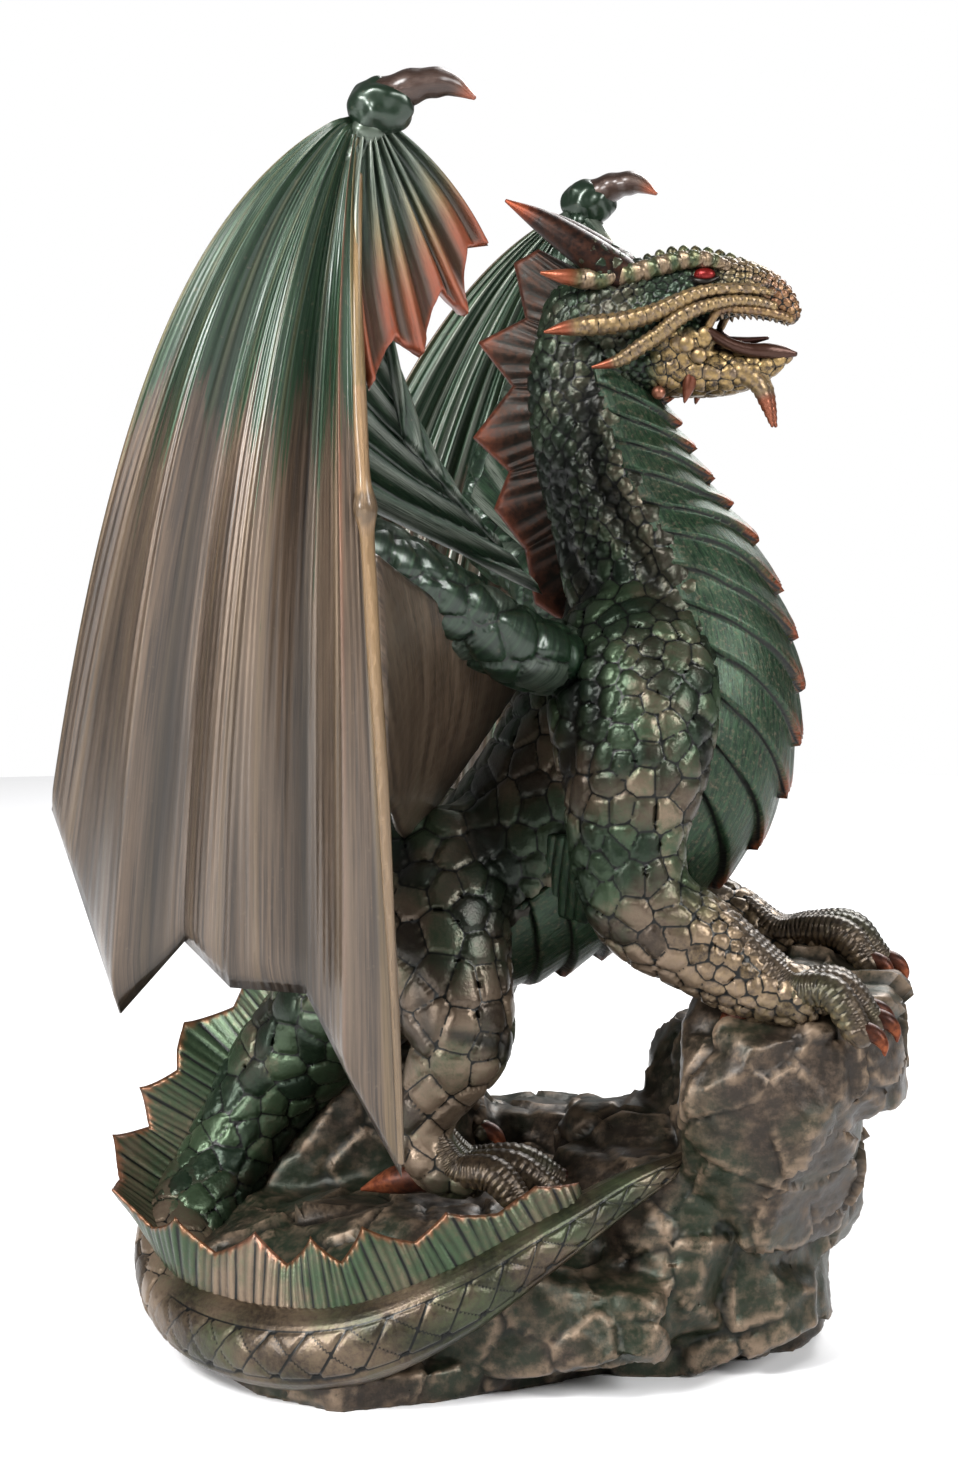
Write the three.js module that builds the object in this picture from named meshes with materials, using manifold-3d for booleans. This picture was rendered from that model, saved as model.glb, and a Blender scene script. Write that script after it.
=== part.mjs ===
// Dragon statue in painted cast resin: a rearing dragon cast in one with its rock,
// and two half folded wings, cast apart and glued on at the shoulders.
// Millimetres. +X is where the dragon looks, +Y is its left, +Z is up.
import * as THREE from "three";
import { mergeVertices } from "three/addons/utils/BufferGeometryUtils.js";
import Module from "manifold-3d";

const wasm = await Module();
wasm.setup();

// ---------------------------------------------------------------- driving dimensions

const GLUE_GAP = 0.3; // between a wing and the body it is glued to
const RIGHT = -1; // the dragon's right side, towards -Y
const LEFT = 1; // its left side, towards +Y
const BOX_CENTRE = { x: 9.1, y: 0 }; // middle of the statue's box, in drawing coordinates

// A strand is a list of stations: x, y, z, half width across, half depth.
const TRUNK = [
  [32, 0, 306, 11, 13],
  [33, 0, 288, 13, 18],
  [38, 0, 268, 16, 21],
  [47, 0, 246, 19, 24.5],
  [56, 0, 224, 24, 31],
  [57, 0, 203, 29, 38],
  [50, 0, 181, 32, 42],
  [34, 0, 160, 33, 38],
  [14, 0, 143, 31, 32],
  [-8, 0, 127, 27, 26],
  [-28, 0, 112, 23, 22],
  [-46, 0, 98, 20, 20],
];

// The tail's sixth number is how far its crest leans outwards, in degrees.
const TAIL = [
  [-36, 0, 104, 20, 20, 0],
  [-56, 4, 86, 18.5, 18.5, 0],
  [-71, 6, 67, 16.5, 16.5, 5],
  [-81, -4, 47, 14.5, 14.5, 40],
  [-87, -25, 31, 13, 13, 40],
  [-73, -53, 18, 12, 12, 18],
  [-42, -76, 15.5, 12, 12, 0],
  [-14, -82, 19.5, 11.5, 11.5, 0],
  [12, -76, 31, 10, 10, 0],
  [34, -61, 45, 8, 8, 0],
  [53, -42, 56.5, 5.5, 5.5, 0],
  [66, -31, 63, 3.2, 3.2, 0],
  [75.5, -22, 68, 0.8, 0.8, 0],
];
const TAIL_CREST = { from: 0.05, to: 0.8, teeth: 11, height: 20, notch: 0.42, thick: 3.2 };

const NECK_SPIKES = [
  { root: [27, 0, 308], tip: [10.5, 0, 322], long: 16, thick: 6 },
  { root: [24, 0, 293], tip: [-0.5, 0, 299], long: 20, thick: 6 },
  { root: [23, 0, 268], tip: [-2, 0, 271], long: 22, thick: 6 },
  { root: [26, 0, 248], tip: [4.5, 0, 250], long: 20, thick: 6 },
  { root: [36, 0, 228], tip: [17, 0, 222], long: 18, thick: 6 },
];

const BACK_SPIKES = { from: 0.46, to: 0.97, count: 6, height: 12, long: 17, thick: 5 };

const SCUTES = {
  line: [
    [47, 0, 287],
    [48, 0, 268],
    [59, 0, 248],
    [73, 0, 230],
    [83, 0, 209],
    [85, 0, 187],
    [77, 0, 167],
    [63, 0, 152],
    [44, 0, 139],
    [24, 0, 126],
  ],
  plates: 14,
  halfWidth: 19,
  depth: 11,
  lip: 3.2,
};

const FORELEG = [
  [46, 18, 216, 13, 19],
  [53, 30, 200, 17, 25],
  [55, 38, 178, 16, 22],
  [54, 41, 157, 13.5, 17],
  [59, 41, 139, 13, 15.5],
  [75, 38, 128, 12, 14],
  [91, 36, 117, 10, 10.5],
  [104, 35, 114, 10, 8.5],
];
const HINDLEG = [
  [-10, 20, 150, 15, 26],
  [-6, 33, 131, 18, 25],
  [2, 40, 112, 17, 19],
  [6, 43, 98, 15, 15],
  [-1, 43, 84, 10, 11],
  [-7, 42, 71, 8, 9],
  [0, 42, 61, 9, 8],
  [9, 42, 58, 8, 6],
];
// How each leg differs from the drawn one: where its foot is moved, and its middle sagged.
const LEG_SHIFT = {
  foreRight: { end: [0, 0, 0], sag: 0 },
  foreLeft: { end: [-5, -8, 7], sag: -14 },
  hindRight: { end: [0, 0, 0], sag: 0 },
  hindLeft: { end: [-36, -4, 2], sag: 0 },
};
const FORE_TOES = [
  { out: -11, reach: 16, drop: 5 },
  { out: -1, reach: 19, drop: 6 },
  { out: 9, reach: 17, drop: 8 },
];
const HIND_TOES = [
  { out: -16, reach: 22, drop: 3 },
  { out: -4, reach: 24, drop: 5 },
  { out: 8, reach: 17, drop: 5 },
];
const TOE = { thick: 5, clawLong: 9, clawThick: 3 };

const SKULL = [
  [30, 0, 304, 11, 13],
  [44, 0, 307, 14, 15],
  [58, 0, 312, 13.5, 12.5],
  [70, 0, 313.5, 10.5, 10.5],
  [80, 0, 313, 8.5, 9],
  [88, 0, 309.5, 6, 7],
  [93.5, 0, 305, 2.4, 3.4],
];
const JAW = [
  [48, 0, 293, 12, 10],
  [62, 0, 291, 10.5, 8.5],
  [74, 0, 290, 8, 7],
  [84, 0, 291, 5.5, 4.5],
  [92.5, 0, 294.5, 1.4, 1.4],
];
const HORN = [
  [44, 9, 318, 5.5, 5.5],
  [34, 11, 325, 5, 5],
  [22, 12, 333, 3.4, 3.4],
  [11.5, 12, 339, 0.6, 0.6],
];
const CHEEK_SPIKES = [
  { root: [42, 12, 315], tip: [23, 16, 318], long: 9, thick: 6 },
  { root: [46, 13, 303], tip: [25, 20, 301], long: 9, thick: 6 },
  { root: [52, 12, 293], tip: [38, 16, 288], long: 8, thick: 6 },
];
const BEARD_SPIKES = [
  { root: [83, 3, 290], tip: [88, 4, 274], long: 7, thick: 4 },
  { root: [65, 5, 286], tip: [66, 7, 279], long: 8, thick: 4 },
];

// The wing is drawn once, on the side of +Y, and mirrored for the right one.
const WRIST = [0, 114, 354];
const FINGERS = [
  // Each finger is a bent line from the wrist: two guide points and its tip.
  { across: 0, guides: [[-47, 119, 338], [-77, 101, 270]], tip: [-104, 79, 166] },
  { across: 0.12, guides: [[-42, 121, 334], [-70, 108, 262]], tip: [-94, 87, 148] },
  { across: 0.27, guides: [[-36, 124, 328], [-60, 115, 258]], tip: [-74, 104, 113] },
  { across: 0.4, guides: [[-30, 119, 322], [-46, 109, 250]], tip: [-55, 104, 134] },
  { across: 0.58, guides: [[-20, 125, 316], [-33, 121, 240]], tip: [-38, 115, 124] },
  { across: 0.76, guides: [[-13, 117, 314], [-20, 109, 236]], tip: [-19, 108, 122] },
  { across: 0.9, guides: [[-7, 121, 306], [0, 119, 226]], tip: [-6, 109, 98] },
  { across: 1, guides: [[-5, 121, 300], [7, 124, 224]], tip: [7, 106, 73] },
];
const FRONT_RIBS = [
  { across: 0, guides: [[-4, 120, 332], [-3, 119, 306]], tip: [0, 111, 282] },
  { across: 0.2, guides: [[1, 115, 332], [2, 110, 310]], tip: [4, 104, 296] },
  { across: 0.36, guides: [[4, 114, 334], [8, 107, 312]], tip: [10, 98, 291] },
  { across: 0.54, guides: [[7, 111, 336], [12, 101, 318]], tip: [14, 95, 309] },
  { across: 0.7, guides: [[9, 110, 338], [15, 98, 318]], tip: [20, 90, 302] },
  { across: 0.86, guides: [[11, 107, 342], [17, 93, 328]], tip: [19, 88, 320] },
  { across: 1, guides: [[14, 107, 346], [21, 94, 334]], tip: [25, 84, 321] },
];
// Each sheet is given its thickness along one direction, which is square to most of it.
const SAIL = { thick: 4.8, cols: 16, rows: 6, facing: [-0.25, 0.96, 0.1], gathered: 0.06 };
const FRONT_SAIL = { thick: 4, cols: 6, rows: 3, facing: [0.72, 0.69, 0], gathered: 0.1 };
const WEB = {
  // The web between the arm, the last finger and the flank.
  shoulder: [22, 26, 204],
  hip: [-16, 22, 152],
  thick: 4,
  cells: 2,
  facing: [0.9, -0.35, 0.25],
};
const ARM_WEB = {
  // The web in front of the elbow, between the arm and the forearm.
  shoulder: [26, 26, 226],
  elbow: [-26, 76, 258],
  wrist: [-2, 106, 332],
  front: [0, 80, 270],
  thick: 4,
  cells: 2,
  facing: [0.75, 0.6, 0.3],
};
const ARM = [
  [29, 12, 208, 10, 13],
  [27, 38, 209, 10, 13],
  [14, 57, 219, 10.5, 13.5],
  [-4, 80, 235, 10.5, 13],
  [-25, 98, 248, 10, 12],
  [-25, 103, 268, 8, 9],
  [-11, 109, 306, 7, 7.5],
  [0, 113, 350, 7, 7],
];
const KNUCKLE = { at: [4, 113, 355], size: [9, 7, 7.5] };
const THUMB = [
  [4, 113, 356, 6, 6],
  [13, 112, 360, 5, 4.4],
  [21, 110, 360.5, 3.6, 3.4],
  [27.5, 108, 357, 0.7, 0.7],
];
const LEFT_WING_SHIFT = { forward: 3, down: 6, tipsBack: -34, tipsUp: 16 };

const ROCK_OUTLINE = [
  [-108, 14],
  [-96, -14],
  [-74, -46],
  [-46, -76],
  [-18, -86],
  [6, -70],
  [30, -48],
  [52, -24],
  [76, -4],
  [97, 6],
  [98, 30],
  [90, 58],
  [50, 77],
  [-12, 80],
  [-64, 68],
  [-97, 44],
];
const PLATE_HIGH = 9;
// A stone is a block with its corners struck off by flat cuts: half sizes in millimetres,
// turned about the upright and leaned towards the dragon's right side, in degrees.
const STONES = [
  { at: [-14, 4, 20], size: [80, 68, 27], turn: 0, lean: 0, seed: 1 },
  { at: [-64, 14, 16], size: [36, 46, 25], turn: 20, lean: 0, seed: 2 },
  { at: [-38, 26, 44], size: [34, 26, 38], turn: 10, lean: 0, seed: 3 },
  { at: [14, 44, 34], size: [50, 28, 28], turn: -8, lean: 0, seed: 4 },
  { at: [56, 20, 24], size: [42, 50, 28], turn: 12, lean: 0, seed: 5 },
  { at: [56, -18, 40], size: [27, 20, 24], turn: -24, lean: 6, seed: 6 },
  { at: [80, -12, 31], size: [13, 12, 12], turn: 18, lean: 0, seed: 7 },
  { at: [91, -6, 78], size: [24, 38, 40], turn: 4, lean: 22, seed: 8 },
  { at: [105, 2, 95], size: [22, 38, 19], turn: 6, lean: 6, seed: 9 },
  { at: [98, 28, 97], size: [24, 24, 21], turn: -10, lean: 0, seed: 10 },
  { at: [76, 20, 60], size: [26, 36, 36], turn: 0, lean: 0, seed: 11 },
  { at: [50, 10, 52], size: [26, 28, 22], turn: 30, lean: 0, seed: 12 },
  { at: [91, 24, 44], size: [20, 28, 20], turn: -15, lean: 0, seed: 13 },
  { at: [82, 22, 20], size: [20, 34, 20], turn: 10, lean: 0, seed: 14 },
  { at: [54, -8, 13], size: [38, 22, 16], turn: 36, lean: 0, seed: 15 },
];
const STONE_CUTS = { count: 18, nearest: 0.92, furthest: 1.3 };

// ---------------------------------------------------------------- shaping tools

const vec = (list) => new THREE.Vector3(list[0], list[1], list[2]);
const mix = THREE.MathUtils.lerp;
const GOLDEN_ANGLE = Math.PI * (3 - Math.sqrt(5));
const UP = new THREE.Vector3(0, 0, 1);
const ACROSS = new THREE.Vector3(0, 1, 0);

// Bends a plain three.js geometry: place() says where each of its points goes.
function warp(geometry, place) {
  const points = geometry.attributes.position;
  const point = new THREE.Vector3();
  for (let i = 0; i < points.count; i += 1) {
    point.fromBufferAttribute(points, i);
    const moved = place(point);
    points.setXYZ(i, moved.x, moved.y, moved.z);
  }
  return geometry;
}

function solidOf(geometry) {
  const bare = geometry.clone();
  bare.deleteAttribute("normal");
  bare.deleteAttribute("uv");
  const merged = mergeVertices(bare, 1e-4);
  const vertProperties = new Float32Array(merged.attributes.position.array);
  const triVerts = new Uint32Array(merged.index.array);
  const solid = new wasm.Manifold(new wasm.Mesh({ numProp: 3, vertProperties, triVerts }));
  if (solid.volume() > 0) return solid;
  for (let i = 0; i < triVerts.length; i += 3) {
    [triVerts[i], triVerts[i + 1]] = [triVerts[i + 1], triVerts[i]];
  }
  return new wasm.Manifold(new wasm.Mesh({ numProp: 3, vertProperties, triVerts }));
}

function fuse(solids) {
  return solids.reduce((whole, next) => whole.add(next));
}

// Radii and lean between the stations, by the same rule as the curve's points.
function along(values, t) {
  const place = t * (values.length - 1);
  const low = Math.min(Math.floor(place), values.length - 2);
  const ease = THREE.MathUtils.smoothstep(place - low, 0, 1);
  return mix(values[low], values[low + 1], ease);
}

function strandFrame(curve, t, across) {
  const centre = curve.getPoint(t);
  const heading = curve.getTangent(t);
  const side = across ? across.clone() : heading.clone().cross(UP);
  side.addScaledVector(heading, -side.dot(heading)).normalize();
  const top = side.clone().cross(heading).normalize();
  return { centre, heading, side, top };
}

// A limb, neck, horn or tail: an oval section carried along a curve, with rounded ends.
function strand(stations, { sides = 10, steps = 12, across = ACROSS, swell = 0 } = {}) {
  const curve = new THREE.CatmullRomCurve3(stations.map(vec));
  const wide = stations.map((station) => station[3] + swell);
  const deep = stations.map((station) => station[4] + swell);
  const tube = new THREE.CylinderGeometry(1, 1, 1, sides, steps + 2);
  return warp(tube, (point) => {
    const ring = (0.5 - point.y) * (steps + 2);
    const t = THREE.MathUtils.clamp((ring - 1) / steps, 0, 1);
    const { centre, heading, side, top } = strandFrame(curve, t, across);
    const end = ring < 0.5 ? -1 : ring > steps + 1.5 ? 1 : 0;
    const size = end === 0 ? 1 : 0.55;
    const a = along(wide, t) * size;
    const b = along(deep, t) * size;
    return centre
      .addScaledVector(side, point.x * a)
      .addScaledVector(top, point.z * b)
      .addScaledVector(heading, end * 0.5 * Math.min(a, b));
  });
}

// A flat pointed fin or spike with a lens section.
function spike({ root, tip, long, thick }, flank = 1) {
  const foot = new THREE.Vector3(root[0], root[1] * flank, root[2]);
  const point = new THREE.Vector3(tip[0], tip[1] * flank, tip[2]);
  const rise = point.clone().sub(foot);
  const side = ACROSS.clone();
  side.addScaledVector(rise, -side.dot(rise) / rise.lengthSq()).normalize();
  const edge = side.clone().cross(rise).normalize();
  const cone = new THREE.ConeGeometry(1, 1, 6, 2);
  return warp(cone, (p) =>
    foot
      .clone()
      .addScaledVector(rise, p.y + 0.5)
      .addScaledVector(edge, (p.x * long) / 2)
      .addScaledVector(side, (p.z * thick) / 2),
  );
}

const chance = (seed, i) => {
  const noise = Math.sin(seed * 127.1 + i * 311.7) * 43758.5453;
  return noise - Math.floor(noise);
};

// Cuts spread evenly round the block, each at its own depth.
function stone({ at, size, turn, lean, seed }) {
  const { count, nearest, furthest } = STONE_CUTS;
  const turned = new THREE.Euler(
    THREE.MathUtils.degToRad(lean),
    0,
    THREE.MathUtils.degToRad(turn),
    "XYZ",
  );
  const placed = new THREE.Matrix4().compose(
    vec(at),
    new THREE.Quaternion().setFromEuler(turned),
    vec(size),
  );
  let block = solidOf(new THREE.BoxGeometry(2, 2, 2).applyMatrix4(placed));
  for (let i = 0; i < count; i += 1) {
    const height = 1 - (2 * i + 1) / count;
    const round = i * GOLDEN_ANGLE + seed;
    const level = Math.sqrt(1 - height * height);
    const way = new THREE.Vector3(level * Math.cos(round), level * Math.sin(round), height);
    const depth = mix(nearest, furthest, chance(seed, i));
    const plane = new THREE.Plane(way, -depth).applyMatrix4(placed);
    block = block.trimByPlane(plane.normal.clone().negate().toArray(), plane.constant);
  }
  return block;
}

// Where a fan of bent ribs is at (across, down): both from 0 to 1.
function fanPoint(start, ribs, across, down) {
  const high = Math.max(1, ribs.findIndex((rib) => rib.across >= across - 1e-9));
  const [a, b] = [ribs[high - 1], ribs[high]];
  const share = THREE.MathUtils.clamp((across - a.across) / (b.across - a.across), 0, 1);
  const on = (rib) =>
    new THREE.CubicBezierCurve3(vec(start), vec(rib.guides[0]), vec(rib.guides[1]), vec(rib.tip));
  return on(a).getPoint(down).lerp(on(b).getPoint(down), share);
}

// A thick sheet over surface(u, v): a bent board with half its thickness on each side.
function sheet(surface, { cols, rows, thick, facing, gathered = 0 }) {
  const half = vec(facing).normalize().multiplyScalar(thick);
  return warp(new THREE.BoxGeometry(1, 1, 1, cols, rows, 1), (p) =>
    surface(p.x + 0.5, mix(gathered, 1, p.y + 0.5)).addScaledVector(half, p.z),
  );
}

function fourCorners(corners, u, v) {
  const [a, b, c, d] = corners.map(vec);
  return a.lerp(b, u).lerp(d.lerp(c, u), v);
}

// ---------------------------------------------------------------- the dragon

function spine(swell = 0) {
  return [
    strand(TRUNK, { sides: 12, steps: 13, swell }),
    strand(TAIL, { sides: 8, steps: 20, across: null, swell }),
  ];
}

// A leg's own stations: its hip or shoulder stays in place and its foot takes the whole shift.
function legStations(stations, flank, { end, sag }) {
  return stations.map(([x, y, z, wide, deep], i) => {
    const share = i / (stations.length - 1);
    const ease = Math.sin((share * Math.PI) / 2);
    const drop = sag * Math.sin(share * Math.PI);
    return [x + end[0] * ease, (y + end[1] * ease) * flank, z + end[2] * share + drop, wide, deep];
  });
}

function legs(swell = 0) {
  const leg = (stations, flank, shift) =>
    strand(legStations(stations, flank, shift), { sides: 8, steps: 7, swell });
  return [
    leg(FORELEG, RIGHT, LEG_SHIFT.foreRight),
    leg(FORELEG, LEFT, LEG_SHIFT.foreLeft),
    leg(HINDLEG, RIGHT, LEG_SHIFT.hindRight),
    leg(HINDLEG, LEFT, LEG_SHIFT.hindLeft),
  ];
}

// A foot: knuckled toes spread from the last station of the leg, each with its claw.
function foot(stations, toes, flank, shift) {
  const [x, y, z] = legStations(stations, flank, shift).at(-1);
  return toes.flatMap(({ out, reach, drop }) => {
    const spread = out * flank;
    const knuckle = [x + reach * 0.5, y + spread * 0.75, z + 2.5];
    const end = [x + reach, y + spread, z - drop];
    const clawTip = [end[0] + TOE.clawLong * 0.7, end[1] + spread * 0.1, end[2] - TOE.clawLong * 0.55];
    return [
      strand(
        [
          [x - 6, y + spread * 0.35, z, TOE.thick, TOE.thick],
          [...knuckle, TOE.thick, TOE.thick],
          [...end, TOE.thick * 0.8, TOE.thick * 0.8],
        ],
        { sides: 5, steps: 3 },
      ),
      strand(
        [
          [end[0] - 1, end[1], end[2] + 1, TOE.clawThick, TOE.clawThick],
          [...clawTip, 0.5, 0.5],
        ],
        { sides: 4, steps: 1 },
      ),
    ];
  });
}

function heelClaw(stations, flank, shift, back, down) {
  const [x, y, z] = legStations(stations, flank, shift).at(-2);
  return strand(
    [
      [x, y, z - 2, 5, 5],
      [x - back * 0.6, y, z - down * 0.6, 4, 4],
      [x - back, y, z - down, 0.6, 0.6],
    ],
    { sides: 5, steps: 3 },
  );
}

function feet() {
  return [
    ...foot(FORELEG, FORE_TOES, RIGHT, LEG_SHIFT.foreRight),
    ...foot(FORELEG, FORE_TOES, LEFT, LEG_SHIFT.foreLeft),
    ...foot(HINDLEG, HIND_TOES, RIGHT, LEG_SHIFT.hindRight),
    ...foot(HINDLEG, HIND_TOES, LEFT, LEG_SHIFT.hindLeft),
    heelClaw(FORELEG, RIGHT, LEG_SHIFT.foreRight, 12, 18),
    heelClaw(HINDLEG, RIGHT, LEG_SHIFT.hindRight, 24, 8),
  ];
}

// The crest of the tail: a standing fin whose top edge is cut into teeth.
function tailCrest() {
  const { from, to, teeth, height, notch, thick } = TAIL_CREST;
  const curve = new THREE.CatmullRomCurve3(TAIL.map(vec));
  const radii = TAIL.map((station) => station[4]);
  const leans = TAIL.map((station) => station[5]);
  const rim = (t, up) => {
    const { centre, side, top } = strandFrame(curve, mix(from, to, t), null);
    const lean = THREE.MathUtils.degToRad(along(leans, mix(from, to, t)));
    const saw = Math.abs(((t * teeth) % 1) - 0.5) * 2;
    const fade = Math.min(1, 4 * t + 0.35, 3.2 * (1 - t) + 0.3);
    const tall = along(radii, mix(from, to, t)) + height * fade * (1 - notch * saw);
    const way = top.multiplyScalar(Math.cos(lean)).addScaledVector(side, Math.sin(lean));
    return centre.addScaledVector(way, tall * up);
  };
  return warp(new THREE.BoxGeometry(1, 1, 1, teeth * 2, 1, 1), (p) => {
    const t = p.x + 0.5;
    const face = rim(t, p.y + 0.5);
    const { side } = strandFrame(curve, mix(from, to, t), null);
    return face.addScaledVector(side, p.z * thick * (p.y > 0 ? 0.5 : 1.6));
  });
}

// Small spikes carry the crest on down the back, from the shoulders to the root of the tail.
function backSpikes() {
  const { from, to, count, height, long, thick } = BACK_SPIKES;
  const curve = new THREE.CatmullRomCurve3(TRUNK.map(vec));
  const depths = TRUNK.map((station) => station[4]);
  return Array.from({ length: count }, (_, i) => {
    const t = mix(from, to, i / (count - 1));
    const { centre, heading, top } = strandFrame(curve, t, ACROSS);
    const skin = along(depths, t);
    const root = centre.clone().addScaledVector(top, skin - 4);
    const tip = centre.clone().addScaledVector(top, skin + height).addScaledVector(heading, long / 2);
    return spike({ root: root.toArray(), tip: tip.toArray(), long, thick });
  });
}

// Overlapping plates down the throat, chest and belly: each one swells to a lip.
function scutes() {
  const { line, plates, halfWidth, depth, lip } = SCUTES;
  const curve = new THREE.CatmullRomCurve3(line.map(vec));
  const steps = plates * 2;
  const tube = new THREE.CylinderGeometry(1, 1, 1, 8, steps);
  return warp(tube, (point) => {
    const ring = Math.round((0.5 - point.y) * steps);
    const { centre, side, top } = strandFrame(curve, ring / steps, ACROSS);
    const out = ring % 2 === 1 ? lip : 0;
    const taper = Math.min(1, 0.45 + (ring / steps) * 1.6, 0.5 + (1 - ring / steps) * 3);
    return centre
      .addScaledVector(side, point.x * halfWidth * taper)
      .addScaledVector(top, point.z * (depth * Math.min(1, taper + 0.2) + out));
  });
}

function head() {
  const pair = (make) => [make(RIGHT), make(LEFT)];
  const horn = (flank) =>
    strand(HORN.map(([x, y, z, a, b]) => [x, y * flank, z, a, b]), { sides: 6, steps: 4 });
  return [
    strand(SKULL, { sides: 10, steps: 8 }),
    strand(JAW, { sides: 8, steps: 5 }),
    ...pair(horn),
    ...CHEEK_SPIKES.flatMap((one) => pair((flank) => spike(one, flank))),
    ...BEARD_SPIKES.flatMap((one) => pair((flank) => spike(one, flank))),
  ];
}

// ---------------------------------------------------------------- the rock

function rock() {
  const outline = new THREE.Shape(ROCK_OUTLINE.map(([x, y]) => new THREE.Vector2(x, y)));
  const plate = new THREE.ExtrudeGeometry(outline, { depth: PLATE_HIGH, bevelEnabled: false });
  const block = fuse([solidOf(plate), ...STONES.map(stone)]);
  const below = new THREE.BoxGeometry(600, 600, 200).translate(0, 0, -100);
  return block.subtract(solidOf(below));
}

// ---------------------------------------------------------------- the wings

// Moves a rib's far end for the left wing, which is swept further back than the right one.
function sweep(ribs, back, up) {
  const moved = (point, share) => [point[0] + back * share, point[1], point[2] + up * share];
  return ribs.map(({ across, guides, tip }) => ({
    across,
    guides: [moved(guides[0], across * 0.2), moved(guides[1], across * 0.6)],
    tip: moved(tip, across),
  }));
}

function wing(flank) {
  const isLeft = flank === LEFT;
  const fingers = isLeft
    ? sweep(FINGERS, LEFT_WING_SHIFT.tipsBack, LEFT_WING_SHIFT.tipsUp)
    : FINGERS;
  const finger = fingers.at(-1);
  const webFinger = new THREE.CubicBezierCurve3(
    vec(WRIST),
    vec(finger.guides[0]),
    vec(finger.guides[1]),
    vec(finger.tip),
  );
  const webLow = webFinger.getPoint(0.72).toArray();
  const webHigh = webFinger.getPoint(0.42).toArray();
  const web = [WEB.shoulder, webHigh, webLow, WEB.hip];
  const armWeb = [ARM_WEB.shoulder, ARM_WEB.elbow, ARM_WEB.wrist, ARM_WEB.front];
  const ball = new THREE.IcosahedronGeometry(1, 1);
  const pieces = [
    sheet((u, v) => fanPoint(WRIST, fingers, u, v), SAIL),
    sheet((u, v) => fanPoint(WRIST, FRONT_RIBS, u, v), FRONT_SAIL),
    sheet((u, v) => fourCorners(web, u, v), { ...WEB, cols: WEB.cells, rows: WEB.cells }),
    sheet((u, v) => fourCorners(armWeb, u, v), {
      ...ARM_WEB,
      cols: ARM_WEB.cells,
      rows: ARM_WEB.cells,
    }),
    strand(ARM, { sides: 7, steps: 10, across: UP }),
    strand(THUMB, { sides: 6, steps: 4 }),
    warp(ball, (p) => vec(KNUCKLE.at).add(vec(KNUCKLE.size).multiply(p))),
  ];
  const forward = isLeft ? LEFT_WING_SHIFT.forward : 0;
  const down = isLeft ? LEFT_WING_SHIFT.down : 0;
  const placed = pieces.map((piece) =>
    warp(piece, (p) => new THREE.Vector3(p.x + forward, p.y * flank, p.z - down)),
  );
  const body = fuse([...spine(GLUE_GAP), ...legs(GLUE_GAP)].map(solidOf));
  return fuse(placed.map(solidOf)).subtract(body);
}

// ---------------------------------------------------------------- the statue

function meshOf(name, solid, colour, roughness, metalness) {
  const { vertProperties, triVerts } = solid.getMesh();
  const geometry = new THREE.BufferGeometry();
  geometry.setAttribute("position", new THREE.BufferAttribute(vertProperties, 3));
  geometry.setIndex(new THREE.BufferAttribute(triVerts, 1));
  const material = new THREE.MeshStandardMaterial({ color: colour, roughness, metalness });
  const mesh = new THREE.Mesh(geometry, material);
  mesh.name = name;
  mesh.position.set(-BOX_CENTRE.x, -BOX_CENTRE.y, 0);
  return mesh;
}

const dragon = [
  ...spine(),
  ...legs(),
  ...feet(),
  tailCrest(),
  scutes(),
  ...head(),
  ...NECK_SPIKES.map((one) => spike(one)),
  ...backSpikes(),
];
const cast = fuse([...dragon.map(solidOf), rock()]);

const statue = new THREE.Group();
statue.add(meshOf("dragon_on_rock", cast, 0x3d4a38, 0.38, 0.6));
statue.add(meshOf("right_wing", wing(RIGHT), 0x6b5a48, 0.35, 0.6));
statue.add(meshOf("left_wing", wing(LEFT), 0x2c4636, 0.35, 0.6));

export default statue;
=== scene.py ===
"""Dragon statue in painted cast resin: the fine carving and the painted finish.

Every piece is drawn in millimetres on the same skeleton as the solids it dresses, with
+X where the dragon looks, +Y its left and +Z up, and is put in the frame at the end.
"""

import itertools
import math

import bmesh
import bpy
import numpy as np
from mathutils import Matrix, Quaternion, Vector, kdtree, noise


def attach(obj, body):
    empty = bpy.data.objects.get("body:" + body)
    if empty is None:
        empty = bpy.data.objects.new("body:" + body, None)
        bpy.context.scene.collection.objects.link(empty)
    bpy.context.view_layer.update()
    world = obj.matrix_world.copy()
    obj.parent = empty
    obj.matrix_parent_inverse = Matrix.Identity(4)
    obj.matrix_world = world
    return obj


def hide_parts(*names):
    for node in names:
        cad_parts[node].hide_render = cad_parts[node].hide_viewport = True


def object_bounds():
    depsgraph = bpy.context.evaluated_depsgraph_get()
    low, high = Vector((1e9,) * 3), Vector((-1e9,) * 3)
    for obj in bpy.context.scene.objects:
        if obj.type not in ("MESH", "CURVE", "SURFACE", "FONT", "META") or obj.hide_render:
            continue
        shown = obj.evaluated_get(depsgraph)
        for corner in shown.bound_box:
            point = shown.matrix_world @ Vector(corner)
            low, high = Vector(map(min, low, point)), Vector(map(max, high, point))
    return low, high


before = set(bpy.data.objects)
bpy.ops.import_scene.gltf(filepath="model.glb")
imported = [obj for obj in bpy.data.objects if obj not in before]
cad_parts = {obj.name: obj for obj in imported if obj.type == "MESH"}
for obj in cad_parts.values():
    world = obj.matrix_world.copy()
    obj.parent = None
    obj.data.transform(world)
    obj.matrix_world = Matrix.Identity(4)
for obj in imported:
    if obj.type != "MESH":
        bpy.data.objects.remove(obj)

bl_info = {
    "name": "Dragon statue",
    "version": (1, 0, 0),
    "blender": (4, 5, 0),
    "location": "View3D > Sidebar > Dragon",
    "description": "Carved and painted finish of a cast dragon statue",
    "category": "Object",
}

# ------------------------------------------------------------------ the frame and its scale

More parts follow.
